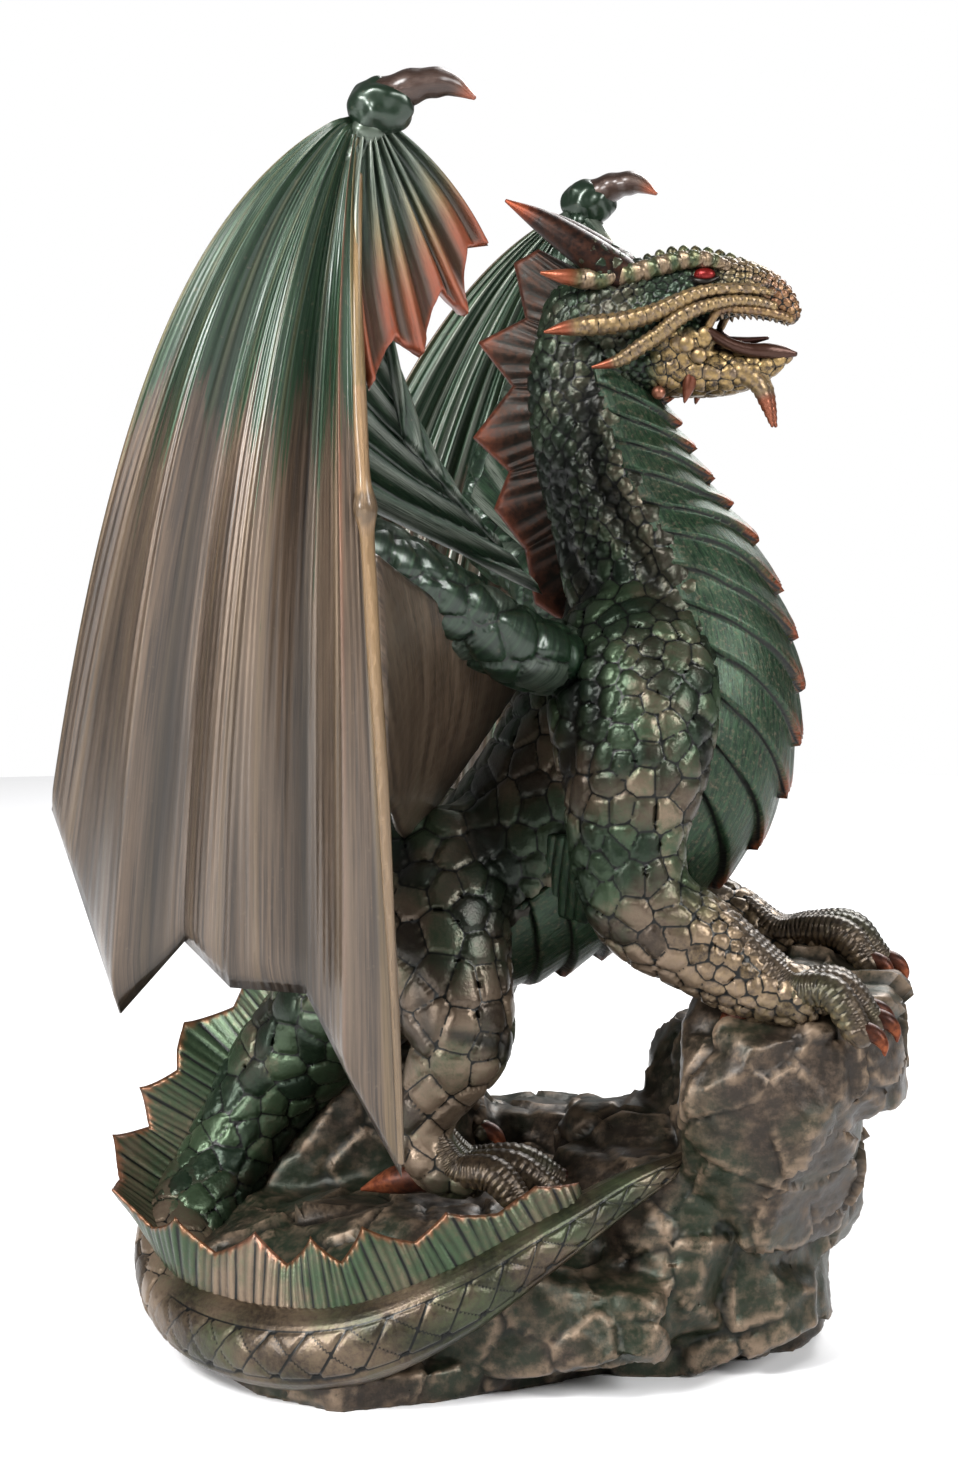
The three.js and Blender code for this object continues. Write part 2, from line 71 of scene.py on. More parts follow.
SOLID_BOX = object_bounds()
DRAWN_HEIGHT = 364.6  # the statue's height in drawing millimetres
DRAWN_MIDDLE = 9.12  # x of the middle of its box in the drawing
MM = (SOLID_BOX[1].z - SOLID_BOX[0].z) / DRAWN_HEIGHT
SHIFT = Vector(((SOLID_BOX[0].x + SOLID_BOX[1].x) / 2 - DRAWN_MIDDLE * MM, 0.0, SOLID_BOX[0].z))
TO_FRAME = Matrix.Translation(SHIFT) @ Matrix.Scale(MM, 4)

X = np.array((1.0, 0.0, 0.0))
Y = np.array((0.0, 1.0, 0.0))
Z = np.array((0.0, 0.0, 1.0))
RIGHT, LEFT = -1, 1

# What the paints read off each point: how deep in a groove it lies, its scale's own tone,
# how green, gold, copper or red it is, how far painted shade and dark paint darken it,
# pale wear on rims and painted highlights on crests, and where it lies on its piece.
MASKS = ("groove", "tint", "green", "gold", "copper", "red", "shade", "edge", "across", "along")

# ------------------------------------------------------------------ the skeleton, in millimetres
# A station is x, y, z, half width across, half depth.

TRUNK = (
    (32, 0, 306, 11, 13), (33, 0, 288, 13, 18), (38, 0, 268, 16, 21), (47, 0, 246, 19, 24.5),
    (56, 0, 224, 24, 31), (57, 0, 203, 29, 38), (50, 0, 181, 32, 42), (34, 0, 160, 33, 38),
    (14, 0, 143, 31, 32), (-8, 0, 127, 27, 26), (-28, 0, 112, 23, 22), (-46, 0, 98, 20, 20),
)
TAIL = (
    (-36, 0, 104, 20, 20), (-56, 4, 86, 18.5, 18.5), (-71, 6, 67, 16.5, 16.5),
    (-81, -4, 47, 14.5, 14.5), (-87, -25, 31, 13, 13), (-73, -53, 18, 12, 12),
    (-42, -76, 15.5, 12, 12), (-14, -82, 19.5, 11.5, 11.5), (12, -76, 31, 10, 10),
    (34, -61, 45, 8, 8), (53, -42, 56.5, 5.5, 5.5), (66, -31, 63, 3.2, 3.2),
    (75.5, -22, 68, 0.8, 0.8),
)
TAIL_LEAN = (0, 0, 5, 40, 40, 18, 0, 0, 0, 0, 0, 0, 0)  # of the crest at each station, degrees
CREST_FROM, CREST_TO, CREST_TEETH = 0.05, 0.8, 11
CREST_HEIGHT, CREST_NOTCH = 20, 0.42
DIAMOND_LONG, DIAMOND_TURN = 11.0, 0.62  # of the tail's net: along it, and half across in radians
SCUTES_FROM, SCUTES_TO = 0.075, 0.8  # along the trunk

FORELEG = (
    (46, 18, 216, 13, 19), (53, 30, 200, 17, 25), (55, 38, 178, 16, 22), (54, 41, 157, 13.5, 17),
    (59, 41, 139, 13, 15.5), (75, 38, 128, 12, 14), (91, 36, 117, 10, 10.5), (104, 35, 114, 10, 8.5),
)
HINDLEG = (
    (-10, 20, 150, 15, 26), (-6, 33, 131, 18, 25), (2, 40, 112, 17, 19), (6, 43, 98, 15, 15),
    (-1, 43, 84, 10, 11), (-7, 42, 71, 8, 9), (0, 42, 61, 9, 8), (9, 42, 58, 8, 6),
)
# How each leg differs from the drawn one: side, where its foot is moved, its middle's sag.
FORE_RIGHT = (FORELEG, RIGHT, (0, 0, 0), 0)
FORE_LEFT = (FORELEG, LEFT, (-5, -8, 7), -14)
HIND_RIGHT = (HINDLEG, RIGHT, (0, 0, 0), 0)
HIND_LEFT = (HINDLEG, LEFT, (-36, -4, 2), 0)
FORE_TOES = ((-11, 16, 5), (-1, 19, 6), (9, 17, 8))  # outwards, forwards, downwards
HIND_TOES = ((-16, 22, 3), (-4, 24, 5), (8, 17, 5))
# A claw from its toe's end: forwards, outwards as a share of the toe's spread, up, half sizes.
CLAW = (
    (-1, 0, 1.4, 3.2, 3.2), (4.2, 0.05, 0.2, 2.4, 2.5), (6.6, 0.1, -2.6, 1.4, 1.5),
    (6.9, 0.1, -5.2, 0.4, 0.4),
)

# ------------------------------------------------------------------ curves and shapes


def spline(points, t):
    """A smooth curve through the points, at each t from 0 to 1; every column is carried."""
    p = np.asarray(points, float)
    t = np.atleast_1d(np.asarray(t, float))
    place = np.clip(t, 0, 1) * (len(p) - 1)
    low = np.minimum(place.astype(int), len(p) - 2)
    w = (place - low)[:, None]
    before = np.where((low > 0)[:, None], p[np.maximum(low - 1, 0)], 2 * p[0] - p[1])
    after = np.where(
        (low + 2 < len(p))[:, None], p[np.minimum(low + 2, len(p) - 1)], 2 * p[-1] - p[-2]
    )
    a, b = p[low], p[low + 1]
    gap = lambda u, v: np.maximum(np.sum((u - v)[:, :3] ** 2, axis=1)[:, None] ** 0.25, 1e-3)
    d0, d1, d2 = gap(before, a), gap(a, b), gap(b, after)
    m1 = ((a - before) / d0 - (b - before) / (d0 + d1) + (b - a) / d1) * d1
    m2 = ((b - a) / d1 - (after - a) / (d1 + d2) + (after - b) / d2) * d1
    return (
        a + m1 * w + (-3 * a + 3 * b - 2 * m1 - m2) * w**2 + (2 * a - 2 * b + m1 + m2) * w**3
    )


def unit(v):
    """The same directions, each with a length of one."""
    return v / np.maximum(np.linalg.norm(v, axis=-1, keepdims=True), 1e-9)


def detail(draft, full):
    """The second value; the first, meant for drafting, is not used."""
    return full


def built(name, draw):
    """The mesh of what draw makes in an empty bmesh."""
    bm = bmesh.new()
    draw(bm)
    mesh = bpy.data.meshes.new(name)
    bm.to_mesh(mesh)
    bm.free()
    return mesh


def smooth_step(x, low, high):
    """From 0 below low to 1 above high, without a corner."""
    t = np.clip((x - low) / (high - low), 0, 1)
    return t * t * (3 - 2 * t)


def frames_along(stations, t, across=Y):
    """Centre, heading, side and top of a section at t; across None keeps the top upright."""
    centre = spline(stations, t)
    heading = unit(spline(stations, t + 1e-3)[:, :3] - spline(stations, t - 1e-3)[:, :3])
    side = np.cross(heading, Z) if across is None else np.broadcast_to(across, heading.shape)
    side = unit(side - heading * np.sum(side * heading, axis=1, keepdims=True))
    top = unit(np.cross(side, heading))
    return centre, heading, side, top


def off_centre(centre, side, top, aside, up):
    """Points that far to the side of a line and above it."""
    return centre[:, :3] + side * aside[:, None] + top * up[:, None]


def grid(cols, rows, place):
    """A flat board of cols by rows squares, bent by place(u, v), u and v from 0 to 1.

    place gives the points, or the points with the paint masks to lay on them.
    """
    squares = {"x_segments": cols, "y_segments": rows, "size": 0.5}
    mesh = built("board", lambda bm: bmesh.ops.create_grid(bm, **squares))
    at = points_of(mesh)
    bent = place(at[:, 0] + 0.5, at[:, 1] + 0.5)
    bent, masks = bent if isinstance(bent, tuple) else (bent, {})
    set_points(mesh, bent)
    return painted(mesh, **masks)


def painted(mesh, **masks):
    """Lays paint masks on a mesh, each one number or one for every point."""
    for name, values in masks.items():
        lay(mesh, name, np.broadcast_to(values, len(mesh.vertices)))
    return mesh


def kept(mesh, name):
    """The mask of that name, as laid before."""
    values = np.zeros(len(mesh.vertices), np.float32)
    if mesh.attributes.get(name) is not None:
        mesh.attributes[name].data.foreach_get("value", values)
    return values.astype(float)


def points_of(mesh):
    co = np.empty(len(mesh.vertices) * 3)
    mesh.vertices.foreach_get("co", co)
    return co.reshape(-1, 3)


def set_points(mesh, co):
    mesh.vertices.foreach_set("co", np.ascontiguousarray(co, float).ravel())
    mesh.update()


def normals_of(mesh):
    n = np.empty(len(mesh.vertices) * 3)
    mesh.vertex_normals.foreach_get("vector", n)
    return n.reshape(-1, 3)


def edges_of(mesh):
    e = np.empty(len(mesh.edges) * 2, int)
    mesh.edges.foreach_get("vertices", e)
    return e.reshape(-1, 2)


def lay(mesh, name, values):
    """Keeps one number for each point of the mesh, for its paint."""
    found = mesh.attributes.get(name) or mesh.attributes.new(name, "FLOAT", "POINT")
    found.data.foreach_set("value", np.ascontiguousarray(values, np.float32))


TUBE_CAP = 0.045  # share of a tube's rows that round off each end


def tube(stations, sides=24, rows=40, across=Y, relief=None, masks=None):
    """A limb, horn or toe: an oval carried along a curve and drawn to a point at both ends.

    relief(t, angle) adds millimetres to the radius; angle 0 is the side, a quarter turn the top.
    masks(t, angle, raised) gives the paint masks.
    """

    def place(u, v):
        angle = u * 2 * np.pi
        t = np.clip((v - TUBE_CAP) / (1 - 2 * TUBE_CAP), 0, 1)
        centre, heading, side, top = frames_along(stations, t, across)
        tip = np.clip(np.abs(v - 0.5) * 2 - (1 - 2 * TUBE_CAP), 0, 2 * TUBE_CAP) / (2 * TUBE_CAP)
        shrink = np.sqrt(np.clip(1 - tip**2, 0, 1))
        wide, deep = np.maximum(centre[:, 3], 0.2), np.maximum(centre[:, 4], 0.2)
        more = relief(t, angle) * shrink if relief else 0 * t
        a, b = wide * shrink + more, deep * shrink + more
        cap = np.sign(v - 0.5) * tip * np.minimum(wide, deep)
        at = off_centre(centre, side, top, np.cos(angle) * a, np.sin(angle) * b)
        laid = masks(t, angle, more) if callable(masks) else masks or {}
        return at + heading * cap[:, None], {"across": u, "along": v, **laid}

    return grid(sides, rows, place)


def ball(at, size, rings=3, **masks):
    """A rounded knob of those half sizes."""
    mesh = built(
        "ball", lambda bm: bmesh.ops.create_icosphere(bm, subdivisions=rings, radius=1.0)
    )
    set_points(mesh, points_of(mesh) * size + at)
    return painted(mesh, **masks)


WELD = 0.01  # points nearer than this become one


def gathered(meshes):
    """One mesh of several closed shapes, with seams welded and faces turned outwards."""

    def join(bm):
        for mesh in meshes:
            lay_missing(mesh)
            bm.from_mesh(mesh)
            bpy.data.meshes.remove(mesh)
        bmesh.ops.remove_doubles(bm, verts=bm.verts, dist=WELD)
        bmesh.ops.dissolve_degenerate(bm, edges=bm.edges, dist=WELD / 10)
        bmesh.ops.recalc_face_normals(bm, faces=bm.faces)

    return built("gathered", join)


def lay_missing(mesh):
    """Gives a mesh every paint mask that it lacks, as nought."""
    for name in MASKS:
        if mesh.attributes.get(name) is None:
            lay(mesh, name, np.zeros(len(mesh.vertices)))


def cast_in_one(mesh, voxel, rounds=4):
    """Melts overlapping shapes into one skin of even squares, then eases its creases."""
    melted = with_modifier(mesh, "REMESH", mode="VOXEL", voxel_size=voxel)
    set_points(melted, eased(points_of(melted), edges_of(melted), rounds))
    return melted


def with_modifier(mesh, kind, **settings):
    """The mesh as a modifier leaves it."""
    holder = bpy.data.objects.new("holder", mesh)
    bpy.context.scene.collection.objects.link(holder)
    modifier = holder.modifiers.new(kind.title(), kind)
    for key, value in settings.items():
        setattr(modifier, key, value)
    graph = bpy.context.evaluated_depsgraph_get()
    made = bpy.data.meshes.new_from_object(holder.evaluated_get(graph))
    bpy.data.objects.remove(holder)
    bpy.data.meshes.remove(mesh)
    return made


def eased(values, edges, rounds, share=0.5):
    """Averages each point's values with its neighbours'."""
    flat = values.reshape(len(values), -1)
    ends = np.concatenate((edges[:, 0], edges[:, 1]))
    others = np.concatenate((edges[:, 1], edges[:, 0]))
    degree = np.maximum(np.bincount(ends, minlength=len(flat)), 1)
    for _ in range(rounds):
        near = np.stack(
            [np.bincount(ends, flat[others, k], len(flat)) / degree for k in range(flat.shape[1])], 1
        )
        flat = flat * (1 - share) + near * share
    return flat.reshape(values.shape)


def from_line(co, line, count=160):
    """Distance of each point to a bent line, where along it (0 to 1) and the way out."""
    t = np.linspace(0, 1, count)
    on = spline(line, t)[:, :3]
    nearest, which = np.full(len(co), np.inf), np.zeros(len(co), int)
    for i, p in enumerate(on):
        d = np.sum((co - p) ** 2, axis=1)
        closer = d < nearest
        nearest[closer] = d[closer]
        which[closer] = i
    return np.sqrt(nearest), t[which], co - on[which]


def crease(co, normals, line, depth, width, count=60):
    """Presses a soft groove along a line, or raises a cord where the depth is negative."""
    d, t, _ = from_line(co, line, count)
    ends = smooth_step(t, 0, 0.12) * smooth_step(1 - t, 0, 0.12)
    return co - normals * (depth * ends * np.exp(-((d / width) ** 2)))[:, None]


def wobble(co, size, seed=0.0):
    """Smooth noise from -1 to 1 with features of about that many millimetres."""
    shift = Vector((seed * 7.31, seed * 3.17, seed * 5.71))
    return np.array([noise.noise(Vector(p) / size + shift) for p in co])


# ------------------------------------------------------------------ scales


AROUND = tuple(itertools.product((-1, 0, 1), repeat=3))


def spread_seeds(co, spacing, seed):
    """Points picked off a skin so that none is nearer to another than its own spacing."""
    cell = float(np.max(spacing))
    taken, boxes = [], {}
    keys = np.floor(co / cell).astype(int).tolist()
    for i in np.random.default_rng(seed).permutation(len(co)):
        x, y, z = keys[i]
        near = [q for a, b, c in AROUND for q in boxes.get((x + a, y + b, z + c), ())]
        if all(np.dot(co[i] - q, co[i] - q) >= spacing[i] ** 2 for q in near):
            boxes.setdefault((x, y, z), []).append(co[i])
            taken.append(i)
    return np.array(taken)


def scale_cells(co, seeds):
    """For each point: its scale, the distance to the scale's edge and the way to it."""
    tree = kdtree.KDTree(len(seeds))
    for i, p in enumerate(seeds):
        tree.insert(p, i)
    tree.balance()
    own = np.zeros(len(co), int)
    first, second = np.empty((len(co), 3)), np.empty((len(co), 3))
    for i, p in enumerate(co):
        (first[i], own[i], _), (second[i], _, _) = tree.find_n(p, 2)
    apart = second - first
    long = np.linalg.norm(apart, axis=1)
    edge = (np.sum((co - second) ** 2, 1) - np.sum((co - first) ** 2, 1)) / (2 * long)
    return own, edge, apart / long[:, None]


def carve_scales(mesh, spacing, voxel, depth, seed, plain=0.0, dome=0.35, tip=0.03):
    """Cuts a net of grooves into the skin and lets each scale between them swell and tip.

    plain is 1 where the skin stays as it is.
    """
    co, normals = points_of(mesh), normals_of(mesh)
    rng = np.random.default_rng(seed)
    picked = spread_seeds(co, spacing, seed)
    seeds = co[picked] + rng.normal(0, 0.12, (len(picked), 3)) * spacing[picked][:, None]
    own, edge, way = scale_cells(co, seeds)
    near = edge < voxel * 0.5
    way -= normals * np.sum(way * normals, axis=1, keepdims=True)
    co = co + way * (edge * near * (1 - plain))[:, None]
    edge = np.where(near, 0.0, edge)
    swell = 1 - np.exp(-((edge / (spacing[picked][own] * 0.16)) ** 2))
    rise = (depth * dome * swell - depth * (edge <= 0)) * (1 - plain)
    tilt = rng.normal(0, 1, (len(picked), 3))[own] * tip
    rise += np.sum((co - seeds[own]) * tilt, axis=1) * (1 - plain) * (edge > 0)
    set_points(mesh, co + normals * rise[:, None])
    painted(mesh, groove=(edge <= 0) * (1 - plain), tint=rng.random(len(picked))[own])


# ------------------------------------------------------------------ the finish


class Paint:
    """A node material put together from small steps."""

    def __init__(self, name, metallic, roughness):
        self.material = bpy.data.materials.new(name)
        self.material.use_nodes = True
        self.tree = self.material.node_tree
        self.shader = self.tree.nodes["Principled BSDF"]
        self.shader.inputs["Metallic"].default_value = metallic
        self.shader.inputs["Roughness"].default_value = roughness
        self.where = self.tree.nodes.new("ShaderNodeTexCoord").outputs["Object"]

    def node(self, kind, inputs=(), **settings):
        made = self.tree.nodes.new(kind)
        for key, value in settings.items():
            setattr(made, key, value)
        for key, value in inputs:
            if isinstance(value, bpy.types.NodeSocket):
                self.tree.links.new(value, made.inputs[key])
            else:
                made.inputs[key].default_value = value
        return made

    def ranged(self, value, **limits):
        """The value carried from one range to another; limits as in from_min=0.4."""
        inputs = [(key.replace("_", " ").title(), limit) for key, limit in limits.items()]
        return self.node("ShaderNodeMapRange", (("Value", value), *inputs)).outputs["Result"]

    def mask(self, name):
        return self.node("ShaderNodeAttribute", attribute_name=name).outputs["Fac"]

    def grain(self, scale, detail=4.0, rough=0.55, vector=None):
        inputs = {"Vector": vector or self.where, "Scale": scale, "Detail": detail, "Roughness": rough}
        return self.node("ShaderNodeTexNoise", inputs.items()).outputs["Fac"]

    def laid_along(self, across, along):
        """A vector that runs with the piece's own ribs, for streaks that follow them."""
        x, y = self.times(self.mask("across"), across), self.times(self.mask("along"), along)
        return self.node("ShaderNodeCombineXYZ", (("X", x), ("Y", y))).outputs["Vector"]

    def between(self, value, low, high):
        """How far the value is from low to high, from 0 to 1."""
        return self.node(
            "ShaderNodeMapRange",
            (("Value", value), ("From Min", low), ("From Max", high)),
            interpolation_type="SMOOTHSTEP",
        ).outputs["Result"]

    def times(self, a, b, how="MULTIPLY"):
        return self.node("ShaderNodeMath", ((0, a), (1, b)), operation=how).outputs[0]

    def over(self, share, below, above):
        """The share of one colour laid over another."""
        inputs = ((0, share), (6, below), (7, above))
        return self.node("ShaderNodeMix", inputs, data_type="RGBA").outputs[2]

    def rubbed(self, name, grain, low, high, below, above):
        """A colour rubbed on where that mask is laid, as far as the grain takes it."""
        return self.over(self.times(self.mask(name), self.between(grain, low, high)), below, above)

    def grooves_and_painted_shade(self, colour, low, high):
        """The colour darkened in grooves, and by the mask that lays both painted shade and dark paint.
        """
        colour = self.over(self.between(self.mask("groove"), low, high), colour, DARK)
        return self.over(self.mask("shade"), colour, DARK)

    def bump(self, height, distance, strength):
        inputs = (("Height", height), ("Distance", distance * MM), ("Strength", strength))
        return self.node("ShaderNodeBump", inputs).outputs["Normal"]

    def wear(self, colour, roughness=None, normal=None):
        """Leads colour, roughness and normal to the shader."""
        for key, value in (("Base Color", colour), ("Roughness", roughness), ("Normal", normal)):
            if value is not None:
                self.tree.links.new(value, self.shader.inputs[key])
        return self.material


def rgb(red, green, blue):
    return (red, green, blue, 1.0)


DARK = rgb(0.004, 0.0045, 0.004)
BRONZE = rgb(0.027, 0.019, 0.013)
PALE_BRONZE = rgb(0.165, 0.118, 0.08)
GREEN = rgb(0.004, 0.016, 0.007)
PALE_GREEN = rgb(0.022, 0.054, 0.024)
GOLD = rgb(0.27, 0.18, 0.07)
COPPER = rgb(0.22, 0.045, 0.015)
TAUPE = rgb(0.125, 0.084, 0.055)
RED = rgb(0.15, 0.006, 0.005)
PALE_GREY_GREEN = rgb(0.24, 0.26, 0.22)


def skin_paint():
    """Green glaze over bronze, rubbed through on the highs, dark in the grooves and darkened by painted
    shade.
    """
    p = Paint("painted_scales", 0.6, 0.34)
    patch = p.between(p.grain(34, 3), 0.36, 0.64)
    brush = p.grain(520, 5, 0.7)
    tint = p.mask("tint")
    mottle = p.times(p.times(tint, 0.7), p.times(brush, 0.6), "ADD")
    green = p.over(p.between(mottle, 0.25, 0.95), GREEN, PALE_GREEN)
    bronze = p.over(p.between(mottle, 0.2, 0.95), BRONZE, PALE_BRONZE)
    worn = p.times(p.times(patch, 0.55), p.times(brush, 0.9), "ADD")
    share = p.times(p.mask("green"), p.times(worn, 0.73, "SUBTRACT"), "ADD")
    colour = p.over(p.times(p.between(share, 0.1, 0.85), 0.9), bronze, green)
    colour = p.rubbed("gold", brush, 0.35, 0.62, colour, GOLD)
    colour = p.over(p.mask("copper"), colour, COPPER)
    colour = p.over(p.mask("red"), colour, RED)
    colour = p.over(p.times(p.between(brush, 0.62, 0.78), 0.35), colour, PALE_BRONZE)
    colour = p.grooves_and_painted_shade(colour, 0.55, 0.95)
    rough = p.ranged(brush, to_min=0.24, to_max=0.46)
    return p.wear(colour, rough, p.bump(p.grain(1100, 4), 0.22, 0.5))


def wing_paint():
    """Bronze-taupe below and green above, brushed lengthwise with gold and dark streaks, with pale
    painted highlights on crests and painted shade in hollows.
    """
    p = Paint("painted_wing", 0.55, 0.34)
    brush = p.grain(1.0, 6, 0.72, p.laid_along(110, 5))
    wide = p.grain(1.0, 3, 0.5, p.laid_along(16, 2.2))
    speck = p.grain(600, 4, 0.6)
    base = p.over(p.between(brush, 0.32, 0.68), BRONZE, TAUPE)
    base = p.over(p.times(p.between(wide, 0.45, 0.7), 0.6), base, PALE_BRONZE)
    base = p.over(p.times(p.between(wide, 0.42, 0.3), 0.75), base, rgb(0.035, 0.026, 0.02))
    green = p.over(p.between(brush, 0.38, 0.7), GREEN, PALE_GREEN)
    share = p.times(p.mask("green"), p.times(p.times(brush, wide, "ADD"), 1.5), "ADD")
    colour = p.over(p.between(share, 1.92, 2.06), base, green)
    colour = p.over(p.times(p.between(speck, 0.6, 0.75), 0.3), colour, PALE_BRONZE)
    # pale grey-green where the edge mask lies: painted highlights on the crests of folds and ribs, and
    # paler scales on the arm
    colour = p.rubbed("edge", brush, 0.3, 0.6, colour, PALE_GREY_GREEN)
    colour = p.rubbed("gold", brush, 0.25, 0.55, colour, GOLD)
    colour = p.rubbed("copper", brush, 0.2, 0.5, colour, COPPER)
    colour = p.over(p.times(p.between(brush, 0.36, 0.24), 0.7), colour, DARK)
    colour = p.grooves_and_painted_shade(colour, 0.55, 0.95)
    rough = p.ranged(brush, to_min=0.24, to_max=0.44)
    p.shader.inputs["Coat Weight"].default_value = 0.5
    p.shader.inputs["Coat Roughness"].default_value = 0.22
    return p.wear(colour, rough, p.bump(brush, 0.35, 0.5))


def scute_paint():
    """Green plates combed with fine lines from root to lip, their tips copper, dark in their gaps and
    with painted shade under each lip.
    """
    p = Paint("painted_scutes", 0.5, 0.36)
    comb = p.grain(1.0, 4, 0.7, p.laid_along(48, 2))
    speck = p.grain(760, 5, 0.7)
    worn = p.between(p.grain(60, 3), 0.45, 0.7)
    colour = p.over(p.between(comb, 0.35, 0.7), GREEN, PALE_GREEN)
    colour = p.over(p.times(worn, p.between(comb, 0.45, 0.7)), colour, BRONZE)
    colour = p.over(p.times(p.between(speck, 0.5, 0.7), 0.4), colour, PALE_BRONZE)
    colour = p.rubbed("copper", speck, 0.3, 0.55, colour, COPPER)
    colour = p.over(p.between(comb, 0.4, 0.25), colour, DARK)
    colour = p.grooves_and_painted_shade(colour, 0.3, 0.8)
    return p.wear(colour, p.between(speck, -0.6, 1.9), p.bump(comb, 0.3, 0.6))


def rock_paint():
    """Dark bronze stone with taupe dry-brushed on its planes and green in its hollows; painted shade
    darkens the hollows.
    """
    p = Paint("painted_stone", 0.45, 0.4)
    brush = p.grain(190, 7, 0.72)
    patch = p.between(p.grain(26, 4), 0.4, 0.6)
    colour = p.over(patch, rgb(0.02, 0.015, 0.011), rgb(0.014, 0.02, 0.011))
    colour = p.over(p.times(p.between(brush, 0.42, 0.72), 0.5), colour, TAUPE)
    colour = p.rubbed("edge", brush, 0.3, 0.6, colour, PALE_BRONZE)
    # painted shade in the hollows of the stone
    colour = p.over(p.mask("shade"), colour, DARK)
    p.shader.inputs["Specular IOR Level"].default_value = 0.35
    return p.wear(colour, p.between(brush, -0.4, 1.7), p.bump(brush, 0.5, 0.5))


def claw_paint():
    """Dark glossy horn that turns copper-orange at the tip."""
    p = Paint("painted_claws", 0.45, 0.25)
    brush = p.grain(480, 5, 0.65)
    colour = p.over(p.between(brush, 0.35, 0.7), rgb(0.008, 0.005, 0.004), rgb(0.03, 0.011, 0.006))
    rust = p.over(p.between(brush, 0.4, 0.7), rgb(0.13, 0.028, 0.012), COPPER)
    colour = p.over(p.mask("copper"), colour, rust)
    colour = p.rubbed("gold", brush, 0.25, 0.55, colour, GOLD)
    colour = p.rubbed("edge", brush, 0.35, 0.6, colour, rgb(0.3, 0.1, 0.04))
    colour = p.over(p.between(p.mask("groove"), 0.4, 0.9), colour, DARK)
    colour = p.over(p.mask("shade"), colour, rgb(0.01, 0.012, 0.009))
    p.shader.inputs["Specular IOR Level"].default_value = 0.16
    return p.wear(colour, p.between(brush, -0.8, 2.2), p.bump(brush, 0.2, 0.4))


# ------------------------------------------------------------------ finished pieces


def finished(name, mesh, paint="painted_scales", node="dragon_on_rock", slot="bronzed_resin", **masks):
    """Puts a drawn mesh into the frame as a piece of the statue."""
    lay_missing(mesh)
    painted(mesh, **masks)
    mesh.transform(TO_FRAME)
    mesh.materials.clear()
    mesh.materials.append(bpy.data.materials.get(paint) or PAINTS[paint]())
    mesh.shade_smooth()
    mesh.name = name
    piece = bpy.data.objects.new(name, mesh)
    bpy.context.scene.collection.objects.link(piece)
    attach(piece, "root")
    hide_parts(node)
    return piece


PAINTS = {
    "painted_scales": skin_paint,
    "painted_scutes": scute_paint,
    "painted_wing": wing_paint,
    "painted_stone": rock_paint,
    "painted_claws": claw_paint,
}

# ------------------------------------------------------------------ body


def leg_stations(leg):
    """A leg's stations on its own side, with its foot moved."""
    stations, flank, end, sag = leg
    moved = []
    for i, (x, y, z, wide, deep) in enumerate(stations):
        share = i / (len(stations) - 1)
        ease = math.sin(share * math.pi / 2)
        drop = sag * math.sin(share * math.pi)
        moved.append(
            (x + end[0] * ease, (y + end[1] * ease) * flank, z + end[2] * share + drop, wide, deep)
        )
    return moved


def body_forms():
    """Neck, trunk, root of the tail and the four legs, as plain swelling forms."""
    legs = (FORE_RIGHT, FORE_LEFT, HIND_RIGHT, HIND_LEFT)
    limbs = [tube(leg_stations(leg), 28, 40) for leg in legs]
    return [tube(TRUNK, 40, 60), tube(TAIL[:5], 32, 40, across=None), *limbs]


def pressed_under_scutes(co):
    """The skin's points, 3 mm further in where the plates of the chest cover it."""
    _, t, away = from_line(co, TRUNK, 300)
    centre, _, side, top = frames_along(TRUNK, t)
    across = np.sum(away * side, 1) / centre[:, 3]
    front = -np.sum(away * top, 1) / centre[:, 4]
    covered = smooth_step(front - 0.55 * np.abs(across), 0.0, 0.25)
    covered *= smooth_step(t, SCUTES_FROM, SCUTES_FROM + 0.03)
    covered *= smooth_step(-np.hypot(across, front), -1.4, -1.25)
    covered *= smooth_step(-t, -SCUTES_TO, -SCUTES_TO + 0.03)
    return co - unit(away) * (3.0 * covered)[:, None]


